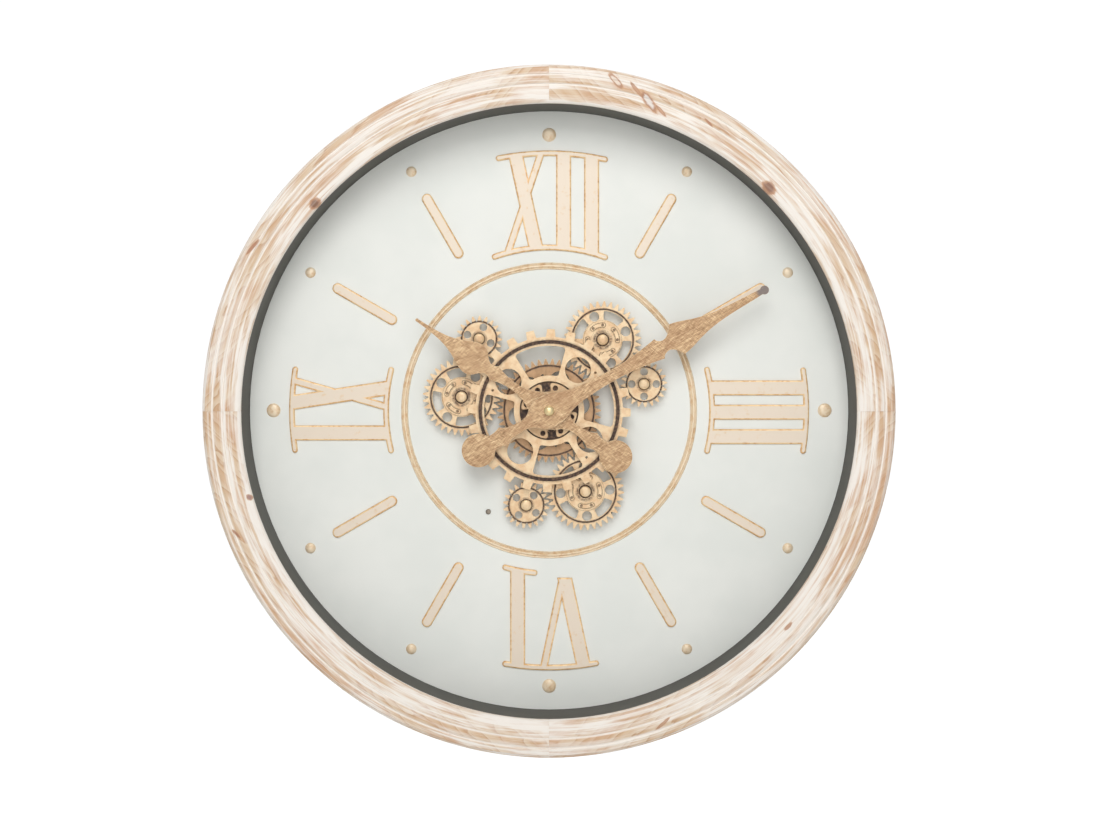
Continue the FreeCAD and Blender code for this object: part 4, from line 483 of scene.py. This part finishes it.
# %% Hardware finishes
# Two colours, roughness, metallic, drift and fine grain in mm, strength of the bump, and
# how much finer the pattern is along each axis
HARDWARE = {
    "satin_grey_lacquer": ("#434139", "#4b4941", 0.55, 0.0, 30, 0.8, 0.15),
    "turned_brass": ("#e6cc94", "#f2dfae", 0.40, 0.55, 3, 0.4, 0.05),
    "browned_steel_screws": ("#7d7468", "#94897a", 0.45, 0.5, 2, 0.4, 0.2),
    "zinc_plated_steel": ("#9a9c9d", "#b4b5b3", 0.35, 0.9, 6, 0.6, 0.08),
    "textured_black_abs": ("#17181a", "#1f2022", 0.55, 0.0, 12, 0.35, 0.35),
    "moulded_white_acetal": ("#e4e2da", "#eeece5", 0.38, 0.0, 9, 0.7, 0.05),
    "brown_hardboard": ("#6b4a31", "#7f5a3c", 0.6, 0.0, 2.2, 0.5, 0.4),
    "turned_beech": ("#c9a178", "#d8b48b", 0.55, 0.0, 4, 0.8, 0.2, (0.3, 1.0, 1.0)),
    "green_solder_mask": ("#14502b", "#1b6537", 0.3, 0.0, 5, 0.4, 0.1),
    "enamelled_copper_wire": ("#8f3f1c", "#b4582a", 0.35, 0.6, 2, 0.2, 0.5, (3.0, 1.0, 1.0)),
    "printed_cell_jacket": ("#2a3138", "#353d45", 0.25, 0.2, 20, 0.8, 0.03)}


def plain_finish(name, first, second, roughness, metallic, drift, fineness, bump,
                 stretch=(1.0, 1.0, 1.0)):
    """A surface that drifts between two colours, with a fine grain of a given size."""
    material, tree, shader, place = new_material(name, roughness, metallic)
    lane = add_node(tree, "ShaderNodeMapping", {"Vector": place, "Scale": stretch})
    slow, fine = [add_node(tree, "ShaderNodeTexNoise", {
        "Vector": lane, "Scale": 1.0 / (size * MM), "Detail": detail}).outputs["Fac"]
        for size, detail in ((drift, 4.0), (fineness, 3.0))]
    colour = add_node(tree, "ShaderNodeValToRGB", [slow], stops=[(0.35, first), (0.65, second)])
    coat(tree, shader, colour, fine, bump, 0.1 * MM)
    return material


finishes = {name: plain_finish(name, *row) for name, row in HARDWARE.items()}
print("hardware finishes:", len(finishes))

# %% [markdown]
# ## Soft edges from the solids
#
# A casting or a pressed sheet has no sharp edges. The solid's mesh is copied, its loose
# triangles are merged and its flat faces dissolved, and every edge that turns sharply is
# bevelled. The bevel's faces take a material of their own, because that is where a wiped
# or rubbed finish shows first, and on the gears and hands they also carry a painted
# highlight. A Bevel modifier gives the same shape, but the operator leaves real faces
# behind, which the next steps can sort and inset. The copy then stands in for the solid.

# %% Softening a solid
MERGE, SLIVER = 0.002 * MM, 0.003 * MM   # closer corners are one, shorter edges are none
FLAT = math.radians(0.6)                 # faces that turn by less are one flat face
SHARP = math.radians(28.0)               # edges that turn by more are bevelled
BODY_SLOT, EDGE_SLOT, PATINA_AND_SHADE_SLOT = range(3)


def flat_mesh(node):
    """A merged copy of a node's mesh, with its flat faces in one piece."""
    mesh = bmesh.new()
    mesh.from_mesh(frame["nodes"][node].data)
    bmesh.ops.remove_doubles(mesh, verts=mesh.verts, dist=MERGE)
    bmesh.ops.dissolve_limit(mesh, angle_limit=FLAT, verts=mesh.verts, edges=mesh.edges)
    bmesh.ops.dissolve_degenerate(mesh, dist=SLIVER, edges=mesh.edges)
    return mesh


def soften_edges(mesh, width, segments):
    """Bevels every sharp edge; the new faces take the edge's material."""
    edges = [edge for edge in mesh.edges
             if len(edge.link_faces) == 2 and edge.calc_face_angle(0.0) > SHARP]
    bmesh.ops.bevel(mesh, geom=edges, offset=width, offset_type="OFFSET", segments=segments,
                    profile=0.5, affect="EDGES", clamp_overlap=True, material=EDGE_SLOT)


print("edges over", round(math.degrees(SHARP)), "degrees are bevelled")

# %% [markdown]
# ## Handing a piece over
#
# A finished mesh becomes an object at the origin. It rides on the body that its solid
# belongs to, and replaces that solid. Large faces must keep their shading flat next to a
# bevel: either by weighted normals, or, where a rim is thinner than they can tell apart, by
# a sharp line along every change of material.

# %% Finishing a piece
def body_of(node):
    """The body that a node rides on."""
    bodies = frame["record"]["behaviour"]["bodies"]
    return next(body for body, members in bodies.items() if node in members)


def finish_piece(mesh, name, node, materials, smooth=35.0, even=True):
    """Turns a bmesh into a smooth-shaded piece that rides on its node's body in its place."""
    for face in mesh.faces:
        face.smooth = True
    for edge in mesh.edges:
        kinds = {face.material_index for face in edge.link_faces}
        level = edge.calc_face_angle(0.0) < math.radians(smooth)
        edge.smooth = level and (even or len(kinds) == 1)
    data = bpy.data.meshes.new(name)
    mesh.to_mesh(data)
    mesh.free()
    for material in materials:
        data.materials.append(material)
    piece = bpy.data.objects.new(name, data)
    bpy.context.scene.collection.objects.link(piece)
    if even:
        piece.modifiers.new("even shading", "WEIGHTED_NORMAL").keep_sharp = True
    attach(piece, body_of(node))
    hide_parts(node)


# %% [markdown]
# ## The gears
#
# Which faces are groove floors is read from the solid: they face the front, but lie a
# little deeper than most of the front does. They and the groove's walls take the patina,
# and their radii tell where the line and the smear beside the groove belong. Picking the
# faces by number would work too, but only for this one mesh.
#
# Thin plates have no groove. Along their rim the front is inset, and the strip takes the
# dark brown as painted shade at the plate's edge. An inset leaves the old diagonals in
# place, and some then cross the new rim and turn triangles over, so the inside is deleted
# and filled anew.

# %% Grooves and rims
FORWARD = -0.95              # a face with less than this in its normal's Y looks forward
LEAST_DEPTH, MOST_DEPTH = 0.25 * MM, 2.4 * MM   # of a groove
LEVEL_STEP = 0.05 * MM       # faces are sorted into levels of this height


def reach_of(vert, centre=(0.0, 0.0)):
    """How far a corner is from an axis through a centre, given as (x, z)."""
    return math.hypot(vert.co.x - centre[0], vert.co.z - centre[1])


def groove_floors(mesh):
    """Forward faces just behind the level on which most of the front lies."""
    forward = [face for face in mesh.faces if face.normal.y < FORWARD]
    areas = {}
    for face in forward:
        level = round(face.calc_center_median().y / LEVEL_STEP)
        areas[level] = areas.get(level, 0.0) + face.calc_area()
    front = max(areas, key=areas.get) * LEVEL_STEP
    return [face for face in forward
            if front + LEAST_DEPTH < face.calc_center_median().y < front + MOST_DEPTH]


def inset_flat(mesh, tops, width):
    """Insets flat faces and fills the inside anew. Returns the rim and the new inside."""
    rim = bmesh.ops.inset_region(mesh, faces=tops, thickness=width, use_even_offset=True)["faces"]
    inside = set(tops)
    border = [edge for edge in mesh.edges
              if sum(face in inside for face in edge.link_faces) == 1]
    bmesh.ops.delete(mesh, geom=tops, context="FACES")
    filled = bmesh.ops.triangle_fill(mesh, edges=border, use_beauty=True,
                                     normal=(0.0, -1.0, 0.0))["geom"]
    tops = [item for item in filled if isinstance(item, bmesh.types.BMFace)]
    for face in tops:
        face.normal_update()
        if face.normal.y > 0.0:
            face.normal_flip()
    return rim, tops


print("grooves are", LEAST_DEPTH / MM, "to", MOST_DEPTH / MM, "mm deep")

# %% What each casting looks like
GOLD_TONES = ("#e9cfa9", "#dbb68c", "#4c372b")
BROWN_TONES = ("#c29c75", "#a98560", "#40302a")
DISC_TONES = ("#dcbc92", "#c9a379", "#4c372b")
# Width of the soft edge, tones, and how far the patina and painted shade reach out of a corner,
# in mm
CASTINGS = {"front_plate_gear": (0.45, GOLD_TONES, 2.2), "petal_disc": (0.25, DISC_TONES, 1.6),
            "centre_gear": (0.25, BROWN_TONES, 1.2), "wheel_collar": (0.3, BROWN_TONES, 1.2),
            "satellite_caps": (0.35, GOLD_TONES, 0.7), "satellite_posts": (0.35, GOLD_TONES, 0.7)}
for number in (1, 2, 3):
    CASTINGS[f"large_satellite_{number}"] = (0.25, GOLD_TONES, 2.2)
    CASTINGS[f"small_satellite_{number}"] = (0.25, GOLD_TONES, 2.0)
    CASTINGS[f"hub_links_{number}"] = (0.12, GOLD_TONES, 0.4)
ENGRAVED = ("front_plate_gear", "centre_gear", "large_satellite", "small_satellite")
SHADED_RIMS = {"hub_links": 0.31 * MM, "petal_disc": 0.45 * MM}   # painted shade along the rim of thin plates
# Rings of dirt: middle radius, half width, strength
HUB_SMEARS = {"large": (6.4 * MM, 3.4 * MM, 0.9), "small": (5.6 * MM, 2.2 * MM, 0.7)}
print("kinds of dirt:", len(ENGRAVED), "engraved,", len(SHADED_RIMS), "outlined")

# %% The engraved ring
SMEAR_MARGIN, SMEAR_STRENGTH = 1.2 * MM, 0.7
LEAST_LINE, LINE_STRENGTH = 0.75 * MM, 0.9
OUTER_SHARE = 0.8            # floors beyond this share of the largest radius are the ring's
WALL_MARGIN = 2.2            # bevel widths on each side of the floor that are still groove


def engraved_ring(mesh, centre, width):
    """The faces of the outer engraved ring and the other floors, and the ring's radii."""
    faces = groove_floors(mesh)
    reaches = [reach_of(vert, centre) for face in faces for vert in face.verts]
    ring = [reach for reach in reaches if reach > OUTER_SHARE * max(reaches)]
    inside, outside = min(ring) - WALL_MARGIN * width, max(ring) + WALL_MARGIN * width
    walls = [face for face in mesh.faces
             if all(inside < reach_of(vert, centre) < outside for vert in face.verts)]
    return faces + walls, min(ring), max(ring)


print("an engraved line is at least", 2 * LEAST_LINE / MM, "mm wide")

# %% Castings
for node, (width, tones, dirt_and_shade) in CASTINGS.items():
    low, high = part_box(node)
    centre = ((low[0] + high[0]) / 2, (low[2] + high[2]) / 2)
    mesh = flat_mesh(node)
    soften_edges(mesh, width * MM, segments=2)
    dirty_and_shaded_faces, smears, lines = [], [], []
    if node.startswith(ENGRAVED):
        dirty_and_shaded_faces, inner, outer = engraved_ring(mesh, centre, width * MM)
        groove, span = (inner + outer) / 2, outer - inner
        smears.append((groove, span + SMEAR_MARGIN, SMEAR_STRENGTH))
        lines.append((groove, max(LEAST_LINE, span / 2), LINE_STRENGTH))
        print(node, "is engraved at", round(groove / MM, 1), "mm")
    smears += [smear for kind, smear in HUB_SMEARS.items() if node.startswith(kind)]
    # A strip along the rim of a thin plate takes the dark brown: painted shade at its edge.
    shaded_rim = next((rim for kind, rim in SHADED_RIMS.items() if node.startswith(kind)), 0.0)
    if shaded_rim:
        forward = [face for face in mesh.faces if face.normal.y < FORWARD]
        dirty_and_shaded_faces += inset_flat(mesh, forward, shaded_rim)[0]
    for face in dirty_and_shaded_faces:
        face.material_index = PATINA_AND_SHADE_SLOT
    gold = antique_gold("antique_gold_" + node, *tones, centre, smears, lines, dirt_and_shade * MM)
    finish_piece(mesh, node.replace("_", "-") + "-casting", node, [gold, worn_and_highlit_edge, patina_and_shade],
                 even=not shaded_rim)
print("castings:", len(CASTINGS))

# %% [markdown]
# ## The hands
#
# Thin sheet with a rolled edge: the same bevel, a little wider. Its faces take a lighter gold, a
# painted highlight.

# %% Hands
HAND_EDGE = 0.75 * MM
for node in ("hour_hand", "minute_hand"):
    mesh = flat_mesh(node)
    soften_edges(mesh, HAND_EDGE, segments=3)
    finish_piece(mesh, node.replace("_", "-") + "-brushed", node, [hand_gold, hand_edge_highlight])
print("softened the hands")

# %% [markdown]
# ## The dial
#
# The sheet stays one piece. What stands above the sheet is gilded: the dots and the ring
# wholly, the numerals and bars on their edges, and the steep sides too, in a browner gold
# that is painted shade. Pressed sheet bends round a large radius.
# A bevel that wide would be clamped by the short edges round the numerals' corners, so the
# flat tops are inset in steps instead, and each step is lowered along a quarter of an
# ellipse.

# %% The dial's relief
DIAL_FRONT = -32.0 * MM
RELIEF_TOP = DIAL_FRONT - 1.5 * MM
DOT_RADIUS_FROM = 0.2370     # the dots lie outside this radius
RING_RADIUS_TO = 0.1400      # the raised ring lies inside this radius, the numerals outside
NUMERAL_RIM, RING_RIM, FALL, STEPS = 1.4 * MM, 2.2 * MM, 1.5 * MM, 4
LEVEL_NORMAL, STEEP_NORMAL = 0.99, 0.10   # the normal's Y on a flat top, and on a steep side


def round_tops(mesh, tops, width):
    """Rounds the rims of flat tops by insets that fall along a quarter of an ellipse."""
    angles = [math.radians(90.0 * step / STEPS) for step in range(STEPS + 1)]
    lowered = []
    for here, there in zip(angles, angles[1:]):
        rim, tops = inset_flat(mesh, tops, width * (math.cos(here) - math.cos(there)))
        inner = {vert for face in tops for vert in face.verts}
        edge_of_rim = {vert for face in rim for vert in face.verts} - inner
        lowered += [(vert, FALL * (1.0 - math.sin(here))) for vert in edge_of_rim]
        for face in rim:
            face.material_index = EDGE_SLOT
    for vert, drop in lowered:
        vert.co.y += drop


mesh = flat_mesh("dial_plate")
tops = {RING_RIM: [], NUMERAL_RIM: []}
for face in mesh.faces:
    reach = reach_of(face.verts[0])
    high = face.calc_center_median().y < RELIEF_TOP
    if face.normal.y < -LEVEL_NORMAL and high and reach < DOT_RADIUS_FROM:
        tops[RING_RIM if reach < RING_RADIUS_TO else NUMERAL_RIM].append(face)
print("flat tops of the relief:", [len(faces) for faces in tops.values()])
for rim_width, faces in tops.items():
    round_tops(mesh, faces, rim_width)

# %% The dial's finishes
TOP_SLOT, WALL_SLOT, LACQUER_SLOT = 2, 3, 4
for face in mesh.faces:
    middle = face.calc_center_median()
    reach = math.hypot(middle.x, middle.z)
    if middle.y > DIAL_FRONT - 0.02 * MM:
        face.material_index = BODY_SLOT
    elif reach > DOT_RADIUS_FROM or reach < RING_RADIUS_TO:
        face.material_index = LACQUER_SLOT
    # Steep sides take the browner gold: painted shade.
    elif abs(face.normal.y) < STEEP_NORMAL:
        face.material_index = WALL_SLOT
    elif face.material_index != EDGE_SLOT:
        face.material_index = TOP_SLOT
finish_piece(mesh, "dial-embossed", "dial_plate",
             [enamel, gold_edge, numeral_top, wall_lacquer_with_shade, gold_lacquer], even=False)
print("dial ready")

# %% [markdown]
# ## The moulding
#
# Turned wood has no sharp arris left after it is rubbed back, so the quarters are softened
# too, and each takes the pine whose grain lies along its own chord. Paint has filled the
# two grooves nearly to the top, so their floors are raised to the level of the paint.

# %% Moulding
ARRIS = 0.6 * MM
GROOVE_HALF = 0.75 * MM
GROOVE_FLOOR, PAINT_LEVEL = 81.2 * MM, 82.2 * MM   # in front of the wall
for node, material in pine.items():
    mesh = flat_mesh(node)
    for vert in mesh.verts:
        in_groove = any(abs(reach_of(vert) - groove) < GROOVE_HALF for groove in GROOVE_RADII)
        if in_groove and abs(-vert.co.y - GROOVE_FLOOR) < 0.2 * MM:
            vert.co.y = -PAINT_LEVEL
    soften_edges(mesh, ARRIS, segments=2)
    for face in mesh.faces:
        face.material_index = BODY_SLOT
    finish_piece(mesh, node.replace("_", "-") + "-turned", node, [material], smooth=40.0)
print("softened the moulding")

# %% Everything else keeps its solid and gets its finish
WEARERS = {
    "satin_grey_lacquer": ("case_drum", "dial_ring"),
    "brown_hardboard": ("back_board",),
    "browned_steel_screws": ("carrier_screws",),
    "turned_beech": ("frame_dowels",),
    "turned_brass": ("hand_nut", "threaded_bush", "bush_washer", "bush_nut"),
    "green_solder_mask": ("circuit_board",),
    "enamelled_copper_wire": ("stepper_coil",),
    "printed_cell_jacket": ("movement_battery", "gear_battery"),
    "moulded_white_acetal": ("minute_wheel", "set_knob", "hour_wheel", "drive_gear",
                             "drive_pinion"),
    "textured_black_abs": ("movement_case", "movement_lid", "gear_motor_case",
                           "gear_motor_lid", "switch_box", "switch_slide")}
finish_of = {node: name for name, nodes in WEARERS.items() for node in nodes}
for node, piece in frame["nodes"].items():
    piece.data.materials.clear()
    piece.data.materials.append(finishes[finish_of.get(node, "zinc_plated_steel")])
print("finished", len(frame["nodes"]), "nodes")

# %% [markdown]
# ## Floor, light and camera
#
# The photograph is a plain studio shot: straight on, long lens and a white surround, with
# one large soft box high above the camera and a weaker one at eye level. A dome that is
# dimmer in front than behind fills the shadows. The surround is white only for the camera:
# what the floor and the backdrop would add to the light on the clock is left out by the
# Light Path node.

# %% Floor
FLOOR_HALF, FLOOR_LEVEL = 12.0, -0.75
FLOOR_GLOW = 0.60            # only what is seen of the floor is this white; it lights nothing
WHITE = (1.0, 1.0, 1.0, 1.0)
mesh = bmesh.new()
bmesh.ops.create_grid(mesh, x_segments=1, y_segments=1, size=FLOOR_HALF)
bmesh.ops.translate(mesh, verts=mesh.verts, vec=(0.0, 0.0, FLOOR_LEVEL))
data = bpy.data.meshes.new("studio_floor")
mesh.to_mesh(data)
mesh.free()
floor = bpy.data.objects.new("studio_floor", data)
bpy.context.scene.collection.objects.link(floor)
floor_paint = plain_finish("matt_pale_floor", "#dadad8", "#dedede", 0.8, 0.0, 500, 10, 0.0)
tree = floor_paint.node_tree
shader = tree.nodes["Principled BSDF"]
shader.inputs["Emission Color"].default_value = WHITE
seen = add_node(tree, "ShaderNodeLightPath").outputs["Is Camera Ray"]
glow = add_node(tree, MATH, [seen, FLOOR_GLOW], operation="MULTIPLY")
tree.links.new(glow.outputs["Value"], shader.inputs["Emission Strength"])
data.materials.append(floor_paint)
print("floor at", FLOOR_LEVEL, "m")

# %% Light
FRONT_DOME, BACKDROP = 0.255, 1.04   # brightness of the sky before and behind the clock
DOME_EDGE = 0.25                     # the change from one to the other, in the direction's Y
# Place, side in metres and power in watts of each soft box
SOFT_BOXES = {"key_light": ((-0.10, -2.0, 1.45), 1.3, 29.0),
              "fill_light": ((0.1, -2.8, 0.25), 1.5, 15.0)}
world = bpy.data.worlds.new("white_studio")
world.use_nodes = True
tree = world.node_tree
sky = tree.nodes["Background"]
sky.inputs["Color"].default_value = WHITE
direction = add_node(tree, "ShaderNodeTexCoord").outputs["Generated"]
depth = add_node(tree, "ShaderNodeSeparateXYZ", [direction]).outputs["Y"]
dome = add_node(tree, RANGE, [depth, -DOME_EDGE, DOME_EDGE, FRONT_DOME, BACKDROP], **SMOOTH)
seen = add_node(tree, "ShaderNodeLightPath").outputs["Is Camera Ray"]
brightness = add_node(tree, RANGE, [seen, 0.0, 1.0, dome, BACKDROP], **SMOOTH)
tree.links.new(brightness.outputs["Result"], sky.inputs["Strength"])
bpy.context.scene.world = world
bpy.context.scene.view_settings.view_transform = "Standard"
for name, (place, side, power) in SOFT_BOXES.items():
    light = bpy.data.lights.new(name, "AREA")
    light.shape, light.size, light.energy = "SQUARE", side, power
    lamp = bpy.data.objects.new(name, light)
    lamp.location = place
    lamp.rotation_euler = (-Vector(place)).to_track_quat("-Z", "Y").to_euler()
    bpy.context.scene.collection.objects.link(lamp)
print("soft boxes:", len(SOFT_BOXES))

# %% Camera
PHOTO_WIDTH, FOCAL_PIXELS, SHIFT_PIXELS = 1100, 1864.0, -32.0   # read from the photo
SENSOR = 36.0
camera_data = bpy.data.cameras.new("straight_on")
camera_data.sensor_width = SENSOR
camera_data.lens = FOCAL_PIXELS / PHOTO_WIDTH * SENSOR
camera_data.shift_y = SHIFT_PIXELS / PHOTO_WIDTH
camera = bpy.data.objects.new("straight_on", camera_data)
camera.location = (0.0008, -1.688, 0.027)
camera.rotation_euler = (math.pi / 2, 0.0, 0.0)
bpy.context.scene.collection.objects.link(camera)
bpy.context.scene.camera = camera
print("lens:", round(camera_data.lens, 1), "mm")
